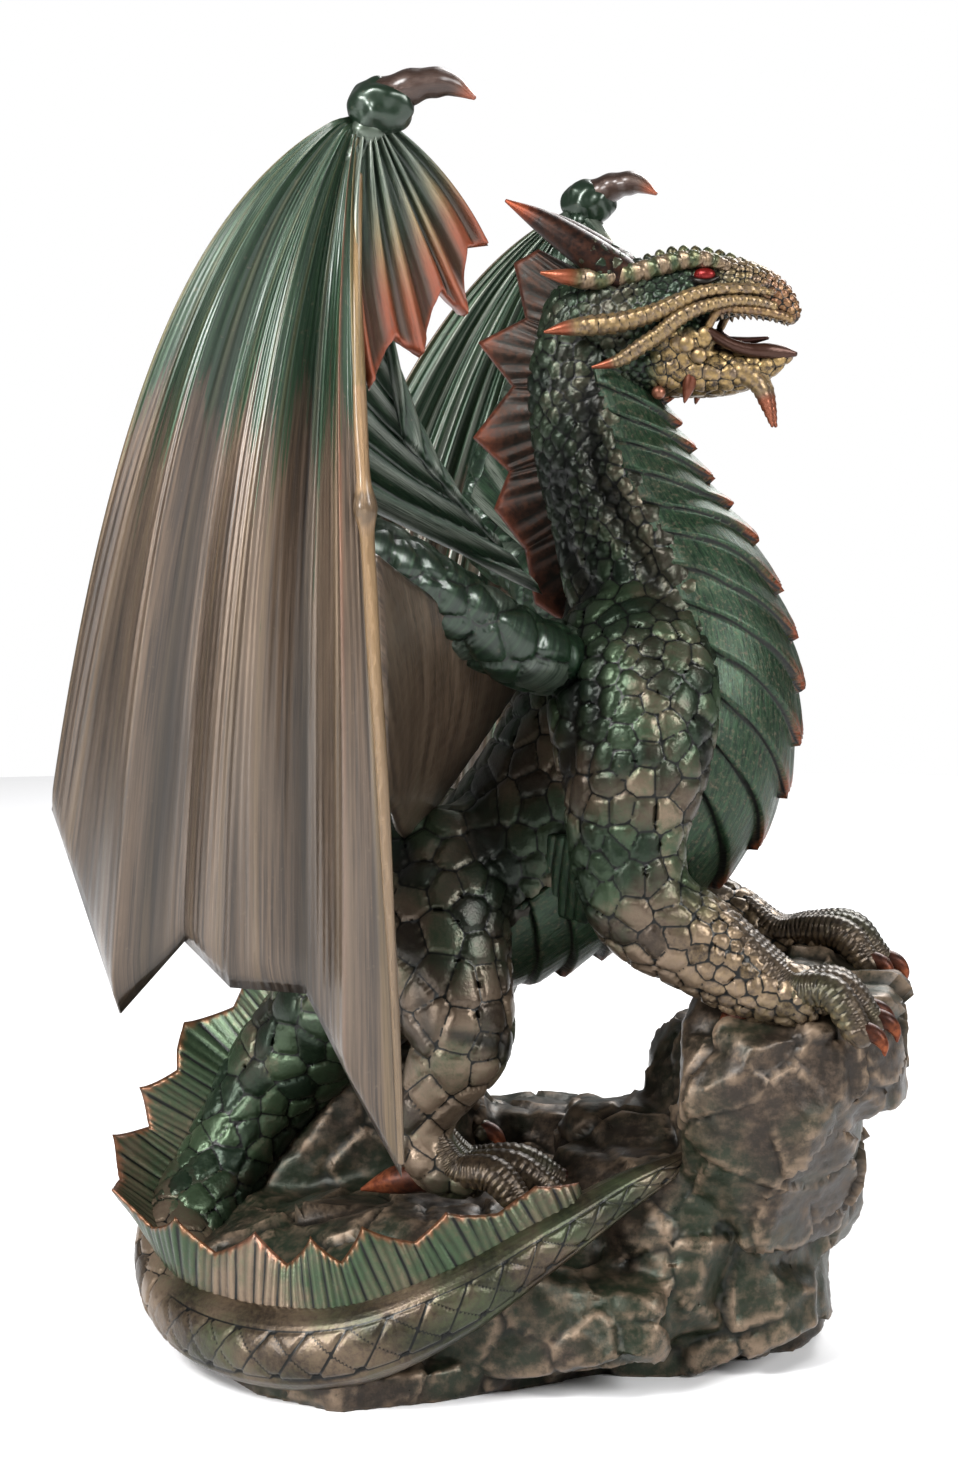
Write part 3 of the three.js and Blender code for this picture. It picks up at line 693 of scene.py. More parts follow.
def make_body(scale_size):
    """Neck, trunk, legs and root of the tail in one skin, with its folds and scales."""
    voxel = detail(1.6, 1.21)
    mesh = cast_in_one(gathered(body_forms()), voxel, 5)
    co, normals = points_of(mesh), normals_of(mesh)
    for line, depth, width in BODY_CREASES:
        for flank in (RIGHT, LEFT):
            co = crease(co, normals, mirrored(line, flank), depth, width)
    set_points(mesh, pressed_under_scutes(co))
    mesh = cast_in_one(mesh, voxel, 2)
    co = points_of(mesh)
    spacing = body_scale_sizes(co) * scale_size / 6.0
    carve_scales(mesh, spacing, voxel, 0.75, 11, dome=0.5)
    co = points_of(mesh)
    x, _, z = co.T
    flank_ridge = np.maximum(*[near_line(co, NECK_RIDGE, f, 7) for f in (RIGHT, LEFT)])
    # how near each point is to a crease, for the painted shade in it
    folds = sum(
        near_line(co, line, f, width * 1.2)
        for line, depth, width in BODY_CREASES
        for f in (RIGHT, LEFT)
        if depth > 0
    )
    green = 0.35 + 0.5 * smooth_step(z, 165, 215) + 0.4 * smooth_step(-x, 20, 60)
    green += 0.35 * np.exp(-(((z - 152) / 16) ** 2)) - 0.1 * flank_ridge
    green -= 0.35 * smooth_step(-z, -150, -120) * smooth_step(x, 30, 60)
    # flank: painted shade on the flank under the wing; nape: painted shade on the back of the neck
    # between the wings
    flank = np.exp(-(((x - 8) / 26) ** 2) - ((z - 150) / 34) ** 2) * smooth_step(-x, -34, -22)
    nape = smooth_step(z, 215, 250) * (1 - flank_ridge) * smooth_step(-x, -50, -36)
    finished(
        "dragon_body",
        mesh,
        green=np.clip(green, 0, 1),
        gold=0.22 * smooth_step(x, 62, 84) * smooth_step(-z, -160, -140),
        # a little dark paint all over, painted shade in the creases, on the nape and under the wing, and
        # dark paint on the neck ridge
        shade=np.clip(0.1 + folds * 0.8 + 0.45 * nape + 0.6 * flank + 0.4 * flank_ridge, 0, 0.85),
    )


def near_line(co, line, flank, reach):
    """From 0 to 1, how near a point is to a line drawn on the left side."""
    d, _, _ = from_line(co, mirrored(line, flank), 60)
    return np.exp(-((d / reach) ** 2))


# Folds of the hide on the left side: the line, how deep, how wide; less than nothing is a ridge.
NECK_RIDGE = (
    (40, 12, 287), (42, 16, 269), (48, 17, 256), (57, 18, 244), (64, 20, 232), (69, 21, 222),
)
BODY_CREASES = (
    (NECK_RIDGE, -1.6, 3.6),
    (((37, 14, 284), (38, 16, 262), (45, 19, 248), (54, 21, 234), (61, 22, 224)), 2.6, 2.2),
    (((33, 15, 270), (38, 17, 251), (46, 19, 240), (50, 21, 233)), -1.2, 2.8),
    (((28, 13, 264), (27, 11, 247), (32, 13, 233), (41, 19, 225)), 2.6, 3.0),
    (((62, 28, 222), (68, 35, 208), (73, 40, 195), (76, 39, 178)), 2.6, 2.4),
    (((77, 22, 210), (79, 23, 200), (79, 22, 187)), 1.8, 1.8),
    (((36, 35, 210), (40, 44, 196), (39, 46, 180), (33, 32, 153)), 3.0, 3.2),
    (((46, 40, 211), (47, 48, 196), (46, 50, 180)), 1.6, 2.0),
    (((31, 32, 156), (37, 42, 158), (45, 51, 159)), 1.6, 1.6),
    (((8, 57, 103), (15, 54, 101), (20, 45, 98)), 1.8, 1.8),
    (((-12, 37, 153), (-6, 50, 128), (1, 56, 103)), 2.2, 2.2),
    (((-3, 50, 86), (4, 53, 90), (12, 50, 95)), 1.5, 1.6),
)


def body_scale_sizes(co):
    """Small scales on face and forearms, larger on thigh and rump."""
    x, z = co[:, 0], co[:, 2]
    size = 6.2 - 2.2 * smooth_step(z, 215, 250)
    size += 2.6 * smooth_step(-x, -20, 0) * smooth_step(z, 60, 90)
    size -= 2.2 * smooth_step(x, 62, 84) * smooth_step(-z, -160, -140)
    return size + 1.2 * smooth_step(0.6 + wobble(co, 26, 4), 0, 1) - 0.6


# ------------------------------------------------------------------ chest and belly scutes


def make_scutes(plates):
    """The overlapping plates: four fifths of the board are their face, the rest their back."""
    cols, rows = detail((70, 200), (90, 290))

    def place(u, v):
        inside = u > 0.8
        s = np.where(inside, 1 - (u - 0.8) * 10, u * 2.5 - 1)
        t = SCUTES_FROM + (SCUTES_TO - SCUTES_FROM) * v
        centre, _, side, top = frames_along(TRUNK, t)
        angle = s * 1.3
        wide, deep = centre[:, 3], centre[:, 4]
        level = side * (np.sin(angle) * wide)[:, None] - top * (np.cos(angle) * deep)[:, None]
        out = unit(side * (np.sin(angle) / wide)[:, None] - top * (np.cos(angle) / deep)[:, None])
        beat = (v + 0.12 * np.abs(s) ** 0.9) * plates
        saw = beat - np.floor(beat)
        lip = np.where(saw < 0.93, (saw / 0.93) ** 1.2, (1 - saw) / 0.07)
        middle = np.exp(-((s / 0.14) ** 2))
        rim = np.clip(1 - np.abs(s), 0, 1) * 6
        rim = np.clip(rim, 0, 1) ** 0.6 * np.clip(np.minimum(v, 1 - v) * 30, 0, 1)
        fine = np.sin(s * 95 + np.floor(beat) * 2.1 + 1.5 * np.sin(beat * 1.7))
        fine = fine * 0.13 * (1 - middle) * smooth_step(0.9 - saw, 0, 0.2)
        raised = (0.2 + lip * (1.9 + 1.3 * middle) + fine) * rim
        raised = np.where(inside, -2.5 * rim, raised)
        at = centre[:, :3] + level + out * raised[:, None]
        front = ~inside
        return at, {
            "across": s,
            "along": beat,
            "copper": front * smooth_step(saw, 0.55, 0.8) * middle * 0.85,
            "green": 0.75 + 0.35 * np.sin(t * 11),
            "tint": 0.25 + 0.6 * saw,
            "groove": np.maximum(smooth_step(saw, 0.93, 0.96), smooth_step(-saw, -0.05, 0)) * 0.9,
            # painted shade just below the lip of the plate above
            "shade": smooth_step(0.12 - saw, 0, 0.1) * 0.45,
        }

    finished("belly_scutes", gathered([grid(cols, rows, place)]), "painted_scutes")


ELBOW_WEB = ((30, 31, 158), (47, 49, 159), (39, 26, 131), (26, 24, 133))


def make_elbow_webs():
    """The small ribbed web behind each elbow."""

    def ribbed(u, v):
        rib = np.abs(np.sin(u * 5 * np.pi)) ** 0.7
        return 2.0 * v * (1 - v), 0.9 * rib + 0.15 * combed(u, v, 20, 6.0), {
            "green": 1.0 + 0 * u,
            # painted shade in the hollows between the ribs
            "shade": 0.7 * smooth_step(0.5 - rib, 0, 0.4),
        }

    webs = []
    for flank in (RIGHT, LEFT):
        web = sheet(board(ELBOW_WEB), 40, 30, 3, (-0.5, 0.75, 0.1), 0, ribbed)
        set_points(web, points_of(web) * (1, flank, 1))
        webs.append(web)
    finished("elbow_webs", gathered(webs), "painted_scutes")


# ------------------------------------------------------------------ head

SKULL = (
    (30, 0, 304, 11, 13), (44, 0, 307, 14, 15), (58, 0, 312, 12.5, 12), (70, 0, 314, 9.5, 9.6),
    (80, 0, 313.6, 7.6, 7.6), (88, 0, 310, 5.4, 6.2), (93.3, 0, 306, 2.4, 3.2),
)
JAW = (
    (48, 0, 293, 12, 10), (62, 0, 291, 10.5, 8.5), (74, 0, 290, 8, 7), (84, 0, 291, 5.5, 4.5),
    (92.5, 0, 294.5, 1.4, 1.4),
)
HORN = ((44, 9, 318, 5.5, 5.5), (34, 11, 325, 5, 5), (22, 12, 333, 3.4, 3.4), (11.5, 12, 339, 0.6, 0.6))
# Ridges of the face, drawn on the left side: x, y, z, half width, half depth.
BROW = (
    (23, 16, 318, 0.6, 0.6), (29, 14.5, 317, 2.2, 2.2), (36, 12.5, 316.3, 2.9, 2.7),
    (43.5, 12, 317, 2.8, 2.4), (50, 11.4, 318, 2.8, 2.4), (56, 10.8, 319.6, 2.7, 2.4),
    (61, 10.2, 321, 2.6, 2.3), (66, 9.6, 321.6, 2.4, 2), (71, 8.6, 321.2, 2, 1.6),
    (75.5, 7.4, 319.6, 1.2, 1),
)
UPPER_CHEEK = (
    (25, 20, 301, 0.5, 0.5), (30, 18, 302, 2, 2), (36, 15.6, 302.8, 2.9, 3), (44, 15, 303.5, 3, 3.2),
    (51, 14.6, 305, 2.8, 3), (56.5, 13.8, 306.8, 2.6, 2.7), (62, 12.8, 309.4, 2.4, 2.4),
    (67.6, 11.6, 311.8, 2, 2), (73.7, 10, 313, 1.7, 1.6), (83, 7.4, 312.9, 1.4, 1.2),
    (88, 5.6, 312, 0.8, 0.8),
)
LOWER_CHEEK = (
    (38, 16, 291, 0.4, 0.4), (42, 15.4, 291.8, 1.3, 1.2), (45.8, 15, 293, 2, 2),
    (52, 14.4, 297, 2.3, 2.3), (57.6, 13.8, 300.7, 2.4, 2.4), (62, 13.2, 304.4, 2.3, 2.2),
    (67.6, 12, 307.4, 2, 2), (73.2, 10.4, 309, 1.8, 1.8), (78.7, 9, 309.8, 1.6, 1.6),
    (84.2, 7.4, 309.4, 1.5, 1.5), (88.6, 5.6, 308.2, 1.2, 1.4),
)
UPPER_LIP = (
    (70.6, 9, 303, 1.2, 1.2), (72.5, 8.8, 306.3, 1.3, 1.3), (76, 8.2, 307.6, 1.4, 1.4),
    (80, 7.4, 307.4, 1.5, 1.4), (85.5, 6.2, 306.8, 1.5, 1.4), (90.5, 4.4, 305.6, 1.4, 1.4),
    (93, 1.6, 304.4, 1.2, 1.2),
)
LOWER_LIP = (
    (70.6, 8.2, 301, 1.4, 2), (73.4, 7.6, 299, 1.6, 2.2), (77.9, 6.2, 296.8, 1.8, 2.2),
    (82.3, 4.8, 295.8, 2, 2), (86.7, 3.6, 295.6, 2.2, 1.8), (91, 1.6, 295.2, 1.8, 1.3),
    (94, 0.6, 294.8, 0.8, 0.6),
)
BEARD = (
    (79, 3.4, 290, 4, 3.6), (84, 3.4, 286, 3, 2.8), (86.4, 3.1, 280, 1.9, 1.8),
    (88, 3, 274.2, 0.5, 0.5),
)
CHIN_SPIKE = ((65, 7, 288.5, 2.6, 2.4), (64.4, 8, 285, 1.8, 1.8), (63.4, 8.4, 281, 0.4, 0.4))
CROWN = (
    (50.7, 0, 322.3), (57.8, 0, 324), (64.8, 0, 323.9), (71.8, 0, 322.7), (78, 0, 320.6),
    (83.6, 0, 317.6),
)
CROWN_KNOBS = 11
EYE, EYE_SIZE = (69.2, 9.4, 317.2), (3.1, 2.0, 1.9)
NOSTRIL = (86.6, 4.6, 313.8)
BEAK = (93, 0, 312)
THROAT_KNOB = (55.7, 8, 283.8)
HINGE = ((54, 7, 299, 5, 5), (62, 7.4, 299, 4.4, 6), (69, 6.8, 299, 3, 3.6), (72, 6.4, 299, 1, 1.5))
# The lid under the left eye, from the eye: forwards, outwards, up, half size.
LID = ((-4.2, -0.188, -0.6, 0.5), (-2, 1.1, -1.7, 0.8), (1.5, 0.9, -1.9, 0.8), (4, -0.752, -0.7, 0.5))
CHEEK_HOLLOW = ((36, 15, 309.5), (46, 15, 310), (56, 13, 313), (64, 11, 315.4))
TONGUE = (
    (62, 0, 297.5, 4.5, 2), (72, 0, 298.5, 4, 1.6), (80, 0, 298.6, 2.8, 1.2),
    (86, 0, 299.4, 0.8, 0.5),
)
JAW_KNOBS = ((69.4, 9.0, 300.2, 2.5), (64.2, 11.0, 297.6, 2.6), (67.8, 10.0, 294.2, 2.3))
NECK_CREST_BASE = ((34, 318), (31, 300), (29, 286), (32, 268), (37, 250), (45, 232), (50, 214))
# Valleys and peaks of the crest down the nape, by turns.
NECK_CREST_EDGE = (
    (18, 326), (10.5, 322), (14, 306), (-0.5, 299), (10, 286), (-2, 271), (9, 261), (4.5, 250),
    (14, 238), (17, 222), (30, 214), (36, 206), (46, 204),
)


def mirrored(stations, flank):
    """Stations of the left side, or the same ones on the right side."""
    return [(s[0], s[1] * flank, *s[2:]) for s in stations]


def notched(count, slant, depth, rows=0):
    """Relief of plates that overlap along a ridge, each with its edge set slantwise."""

    def relief(t, angle):
        beat = t * count + slant * np.sin(angle)
        saw = beat - np.floor(beat)
        lip = np.minimum(saw / 0.8, (1 - saw) / 0.2)
        across = np.abs(np.sin(angle * rows / 2)) ** 0.6 if rows else 1
        return depth * (lip**0.7 * across - 0.55) * smooth_step(t, 0.12, 0.22)

    return relief


def ridge_masks(depth, gold, from_tip, green=0.0):
    """Colours of a ridge of the face: scaled at its root, worn to copper at its tip."""
    def masks(t, angle, raised):
        worn = 1 - smooth_step(t, from_tip * 0.6, from_tip)
        low = smooth_step(-raised, depth * 0.22, depth * 0.5) * (1 - worn)
        return {
            "gold": gold * (1 - worn),
            "green": green * (0.5 + 0.5 * np.sin(t * 50)),
            "copper": worn * 0.8,
            "groove": low,
            "tint": 0.2 + 0.7 * np.abs(np.sin(t * 151 + angle * 2)),
        }

    return masks


def face_ridges(flank):
    """Brow, cheek ridges, lips, beard and chin spike of one side."""
    rows = detail(77, 154)
    return [
        tube(mirrored(BROW, flank), 22, detail(60, 120), across=Z,
             relief=notched(14, 0.9, 0.9), masks=ridge_masks(0.9, 0.2, 0.2, 1.0)),
        tube(mirrored(UPPER_CHEEK, flank), 26, rows, across=Z,
             relief=notched(26, 0.5, 0.7, 9), masks=ridge_masks(0.7, 0.75, 0.16)),
        tube(mirrored(LOWER_CHEEK, flank), 22, rows, across=Z,
             relief=notched(30, 0.5, 0.6, 9), masks=ridge_masks(0.6, 0.7, 0.18)),
        tube(mirrored(UPPER_LIP, flank), 14, 70, across=Z, relief=notched(14, 0, 0.4),
             masks={"gold": 0.7, "copper": 0.1, "tint": 0.4}),
        tube(mirrored(LOWER_LIP, flank), 14, 60, across=Z,
             masks={"shade": 0.5, "copper": 0.25}),
        tube(mirrored(BEARD, flank), 16, 40, relief=notched(9, 0.3, 0.3),
             masks=lambda t, a, r: {"gold": 0.8 * (1 - smooth_step(t, 0.35, 0.55)),
                                    "copper": 0.7 * smooth_step(t, 0.45, 0.6), "tint": 0.6}),
        tube(mirrored(CHIN_SPIKE, flank), 12, 20, masks={"copper": 0.4}),
    ]


def teeth(lip, flank, first, last, pitch, long, up):
    """Small pegs in a row along a lip."""
    along, out, high = np.array(mirrored(lip, flank), float)[:, :3].T
    pegs = []
    for x in np.arange(first, last, pitch):
        y, z = np.interp(x, along, out) - 0.7 * flank, np.interp(x, along, high)
        root, tip = (x, y, z, 0.85, 0.75), (x + 0.2, y, z + long * up, 0.3, 0.3)
        middle = (x, y, z + long * up * 0.6, 0.75, 0.65)
        pegs.append(tube((root, middle, tip), 8, 9, masks={"edge": 0.6, "tint": 0.9}))
    return pegs


def eye_and_lid(flank):
    """A red eye with a dark lid under it."""
    x, y, z = EYE
    lid = [(x + ahead, (y + out) * flank, z + up, half, half) for ahead, out, up, half in LID]
    return [
        ball((x, y * flank, z), EYE_SIZE, 4, red=1.0),
        tube(lid, 10, 24, across=Z, masks={"shade": 0.75}),
    ]


def face_knobs(flank):
    """The knobs at the corner of the mouth and the one under the throat."""
    knobs = [ball((x, y * flank, z), (r, 1.3, r), 3, gold=0.95, tint=0.9) for x, y, z, r in JAW_KNOBS]
    x, y, z = THROAT_KNOB
    return [*knobs, ball((x, y * flank, z), (2.0, 1.8, 2.0), 3, copper=0.5, tint=0.5)]


def crown_knobs():
    """A row of knobs over the top of the skull, the middle ones larger."""
    knobs = []
    for i, at in enumerate(spline(CROWN, np.linspace(0, 1, CROWN_KNOBS))):
        size = 1.5 + 0.35 * math.sin(i * math.pi / (CROWN_KNOBS - 1))
        half = (size, size, size * 1.25)
        knobs.append(ball(at, half, 3, green=0.9, tint=0.7 * (i % 2), gold=0.25))
    return knobs


def head_skin():
    """Skull, jaw and the roots of the horns in one skin of small scales."""
    voxel = detail(1.0, 0.71)
    forms = [tube(SKULL, 32, 40), tube(JAW, 28, 30)]
    for flank in (RIGHT, LEFT):
        forms += [tube(mirrored(HORN, flank)[:2], 16, 12), tube(mirrored(HINGE, flank), 20, 20)]
    mesh = cast_in_one(gathered(forms), voxel, 4)
    co, normals = points_of(mesh), normals_of(mesh)
    for flank in (RIGHT, LEFT):
        co = crease(co, normals, mirrored(CHEEK_HOLLOW, flank), 1.6, 3.0)
        d = np.linalg.norm(co - mirrored((NOSTRIL,), flank)[0], axis=1)
        co = co - normals * (1.1 * np.exp(-((d / 1.3) ** 2)))[:, None]
    set_points(mesh, co)
    x, y, z = co.T
    jaw = smooth_step(-z, -303, -299) * smooth_step(x, 52, 60)
    spacing = 2.0 + 1.4 * jaw + 1.2 * smooth_step(-x, -52, -40)
    carve_scales(mesh, spacing, voxel, 0.42, 5, dome=0.6)
    co, normals = points_of(mesh), normals_of(mesh)
    x, y, z = co.T
    nostril = np.exp(-((np.hypot(x - NOSTRIL[0], z - NOSTRIL[2]) / 1.4) ** 2))
    mouth = smooth_step(x, 64, 69) * smooth_step(z, 294, 297) * smooth_step(-z, -308, -305)
    mouth *= smooth_step(np.abs(normals[:, 2]), 0.45, 0.8)
    beak = np.exp(-(((x - BEAK[0]) / 5.5) ** 2) - (((z - BEAK[2]) / 8) ** 2))
    return painted(
        mesh,
        gold=np.clip(jaw * 0.95 + smooth_step(x, 70, 80) * 0.45, 0, 1) * (1 - mouth),
        green=0.75 * (1 - jaw) * (1 - 0.6 * smooth_step(x, 70, 84)),
        copper=np.clip(beak, 0, 0.3),
        # painted shade inside the mouth, in the nostrils and under the jaw
        shade=np.clip(mouth + nostril + smooth_step(-z, -286, -282) * 0.6, 0, 1),
        tint=kept(mesh, "tint") * (0.35 + 0.65 * np.maximum(jaw, smooth_step(x, 66, 74))),
    )


def make_head(tooth_length):
    """The scaled skin with its ridges, teeth, eyes, knobs and tongue."""
    parts = [head_skin()]
    for flank in (RIGHT, LEFT):
        parts += face_ridges(flank)
        parts += teeth(UPPER_LIP, flank, 74, 91.5, 1.9, tooth_length, -1)
        parts += teeth(LOWER_LIP, flank, 79, 91, 2.2, tooth_length * 0.8, 1)
        parts += eye_and_lid(flank) + face_knobs(flank)
    parts += crown_knobs()
    # the tongue darkened by painted shade inside the mouth
    parts.append(tube(TONGUE, 16, 30, masks={"red": 0.25, "shade": 0.45}))
    finished("dragon_head", gathered(parts))


def crest_edge(u):
    """The toothed edge of the nape's crest: sharp peaks with hollow sides."""
    corners = np.array(NECK_CREST_EDGE, float)
    place = np.clip(u, 0, 1) * (len(corners) - 1)
    low = np.minimum(place.astype(int), len(corners) - 2)
    w = place - low
    peak_ahead = low % 2 == 0
    w = np.where(peak_ahead, w**1.7, 1 - (1 - w) ** 1.7)
    return corners[low] * (1 - w)[:, None] + corners[low + 1] * w[:, None]


def neck_crest():
    """One thin web down the nape, drawn out into peaks, with ribs that fan to each peak."""
    cols, rows = detail((300, 20), (430, 26))
    base = np.array([(x, 0, z) for x, z in NECK_CREST_BASE], float)

    def place(u, v):
        back = v > 0.5
        up = 1 - np.abs(v - 0.5) * 2
        foot = spline(base, u)[:, (0, 2)]
        edge = crest_edge(u)
        flat = foot + (edge - foot) * up[:, None]
        fan = np.sin(u * 2 * np.pi * 6 * 6 + 1.6 * np.sin(u * 2 * np.pi * 6) * up)
        thick = 2.6 * (1 - up) ** 0.8 + 0.5 * np.sin(np.pi * up) ** 0.5 + 0.5
        thick = thick + 0.24 * fan * np.sin(np.pi * up) ** 0.4
        ends = np.clip(np.minimum(u, 1 - u) * 40, 0, 1) * np.where(up > 0.999, 0, 1)
        at = np.stack((flat[:, 0], np.where(back, -1, 1) * thick * ends, flat[:, 1]), 1)
        reach = np.linalg.norm(edge - foot, axis=1) * up
        return at, {
            "copper": 0.4 * smooth_step(up, 0.9, 0.99) + 0.3 * smooth_step(reach, 21, 30),
            "edge": 0.06 * smooth_step(fan, 0.4, 0.95) * smooth_step(up, 0.3, 0.8),
            "groove": smooth_step(-fan, 0.6, 1.0) * 0.75 * (1 - smooth_step(up, 0.85, 1)),
            "shade": 0.3 + smooth_step(1 - up, 0.35, 0.85) * 0.6,
        }

    return grid(cols, rows * 2, place)


def make_spikes():
    """The crest of the nape and the two horns."""

    def seam(t, angle):
        return -0.5 * np.exp(-((np.sin(angle / 2 + 0.6) / 0.12) ** 2)) * smooth_step(t, 0.1, 0.3)

    def tip(t, angle, raised):
        return {"copper": smooth_step(t, 0.66, 0.95), "groove": 1.6 * -raised}

    horns = [tube(mirrored(HORN, f), 40, 70, relief=seam, masks=tip) for f in (RIGHT, LEFT)]
    finished("dragon_spikes", gathered([neck_crest(), *horns]), "painted_claws")


# ------------------------------------------------------------------ tail


def make_tail():
    """The tail, scaled at its root and cut with a net of diamonds where it lies round the rock."""
    cols, rows = detail((60, 260), (80, 380))
    start = 3 / (len(TAIL) - 1)  # the stations before it are part of the body
    steps = np.linspace(0, 1, 400)
    gaps = np.linalg.norm(np.diff(spline(TAIL, steps)[:, :3], axis=0), axis=1)
    run = np.concatenate(([0], np.cumsum(gaps)))

    def place(u, v):
        t = start + (1 - start) * v
        centre, _, side, top = frames_along(TAIL, t, None)
        angle = (u - 0.5) * 2 * np.pi
        thick = np.maximum(centre[:, 3], 0.4)
        length = np.interp(t, steps, run)
        net = smooth_step(t, 0.40, 0.44)
        beat = length / DIAMOND_LONG
        band = angle / DIAMOND_TURN
        inside = smooth_step(1.02 - np.abs(band), 0, 0.04)
        one = np.abs((beat + band / 2) % 1 - 0.5)
        two = np.abs((beat - band / 2) % 1 - 0.5)
        cut = np.maximum(smooth_step(0.09 - one, 0, 0.07), smooth_step(0.09 - two, 0, 0.07)) * inside
        cut = np.maximum(cut, smooth_step(0.07 - np.abs(np.abs(band) - 1.02), 0, 0.05))
        ring = np.hypot(((beat + 0.5) % 1 - 0.5) * DIAMOND_LONG, (band + 0.94) * thick * DIAMOND_TURN)
        dot = smooth_step(1.7 - ring, 0, 0.6)
        comb = smooth_step(np.abs(band), 1.05, 1.15) * np.sin(angle * 46 + 0.6 * np.sin(beat * 2))
        fade = smooth_step(0.97 - t, 0, 0.05) * net
        raised = fade * (-0.55 * cut - 0.7 * dot + 0.14 * comb)
        radius = (thick + raised) * smooth_step(v, -0.01, 0.03) * np.where(v > 0.999, 0, 1)
        return off_centre(centre, side, top, np.cos(angle) * radius, np.sin(angle) * radius), {
            "across": angle,
            "along": length / 30,
            "edge": net,
            "groove": fade * np.maximum(np.maximum(cut, dot), smooth_step(-comb, 0.6, 0.95) * 0.7),
            "tint": 0.2 + 0.2 * np.sin(beat * 2.1 + band),
        }

    mesh = gathered([grid(cols, rows, place)])
    net = kept(mesh, "edge")
    groove, tint = kept(mesh, "groove"), kept(mesh, "tint")
    co = points_of(mesh)
    _, t, _ = from_line(co, TAIL, 300)
    carve_scales(mesh, 9.5 - 6 * t, 0.9, 0.6, 21, plain=net)
    low = smooth_step(-points_of(mesh)[:, 2], -40, -5)
    painted(
        mesh,
        groove=np.maximum(groove, kept(mesh, "groove")),
        tint=tint * net + kept(mesh, "tint") * (1 - net),
        edge=0.0,
        green=np.clip(0.42 - 0.12 * low, 0, 1),
        gold=0.06 * net,
    )
    finished("dragon_tail", mesh)


def make_crest():
    """The toothed crest along the tail, with ribs from its root to each tooth."""
    cols, rows = detail((420, 18), (560, 20))
    leans = [(i, 0, 0, lean) for i, lean in enumerate(TAIL_LEAN)]

    def place(u, v):
        t = CREST_FROM + (CREST_TO - CREST_FROM) * u
        centre, _, side, top = frames_along(TAIL, t, None)
        lean = np.radians(spline(leans, t)[:, 3])
        beat = u * CREST_TEETH
        saw = np.abs(beat % 1 - 0.5) * 2
        fade = np.minimum(1, np.minimum(4 * u + 0.35, 3.2 * (1 - u) + 0.3))
        tall = centre[:, 4] + CREST_HEIGHT * fade * (1 - CREST_NOTCH * saw**0.75)
        up = 1 - np.abs(v - 0.5) * 2
        way = top * np.cos(lean)[:, None] + side * np.sin(lean)[:, None]
        fan = np.sin(beat * 2 * np.pi * 9 + 2.2 * np.sin(beat * 2 * np.pi) * up)
        fan = 0.65 * fan + 0.35 * np.sin(beat * 2 * np.pi * 5.3 + 2)
        flat = 0.5 + 2.2 * (1 - up) ** 0.7 + 0.3 * fan * np.sin(np.pi * np.clip(up, 0, 1)) ** 0.4
        ends = np.clip(np.minimum(u, 1 - u) * 60, 0, 1) * np.where(up > 0.999, 0, 1)
        flat = np.where(v > 0.5, -1, 1) * flat * ends
        at = (
            centre[:, :3]
            + way * (centre[:, 4] * 0.7 + (tall - centre[:, 4] * 0.7) * up)[:, None]
            + side * flat[:, None]
        )
        return at, {
            "across": beat,
            "along": up,
            "copper": smooth_step(up + 0.06 * fan, 0.86, 1.0) * 0.45,
            "green": 0.6 + 0.25 * np.sin(beat * 1.7),
            "tint": 0.55 + 0.45 * fan,
            "groove": smooth_step(-fan, 0.2, 0.8) * 0.95 * smooth_step(1 - up, 0.0, 0.12),
        }

    finished("tail_crest", gathered([grid(cols, rows * 2, place)]))


# ------------------------------------------------------------------ feet


def banded(bands, depth):
    """Relief of a toe: broad bars across its top, and rows of ever smaller beads down its sides."""

    def relief(t, angle):
        down = np.abs((angle / (2 * np.pi) - 0.25 + 0.5) % 1 - 0.5) * 9
        row = np.floor(down + 0.5)
        count = bands * (1 + 0.38 * row)
        along = np.abs(np.sin(t * count * np.pi)) ** 0.5
        around = np.abs(np.cos((down + 0.5 - row - 0.5) * np.pi)) ** 0.5
        return depth * (along * around - 0.6) * np.where(row < 4, 1, 0.6)

    return relief


def toe_masks(depth):
    """Colours of a toe: gilt on its bars, dark in the gaps between them."""
    def masks(t, angle, raised):
        over = smooth_step(np.sin(angle), -0.1, 0.5)
        return {
            "gold": 0.06 + 0.3 * over * smooth_step(raised, -0.1, 0.3),
            "groove": smooth_step(-raised, depth * 0.1, depth * 0.42),
            "tint": 0.05 + 0.25 * over * np.abs(np.sin(t * 9)),
            "green": 0.2,
        }

    return masks


def claw_masks(t, angle, raised):
    """A claw turns from dark horn at its root to copper at its point."""
    return {"copper": 0.1 + 0.5 * smooth_step(t, 0.3, 0.8), "edge": 0.3 * smooth_step(t, 0.3, 0.7)}


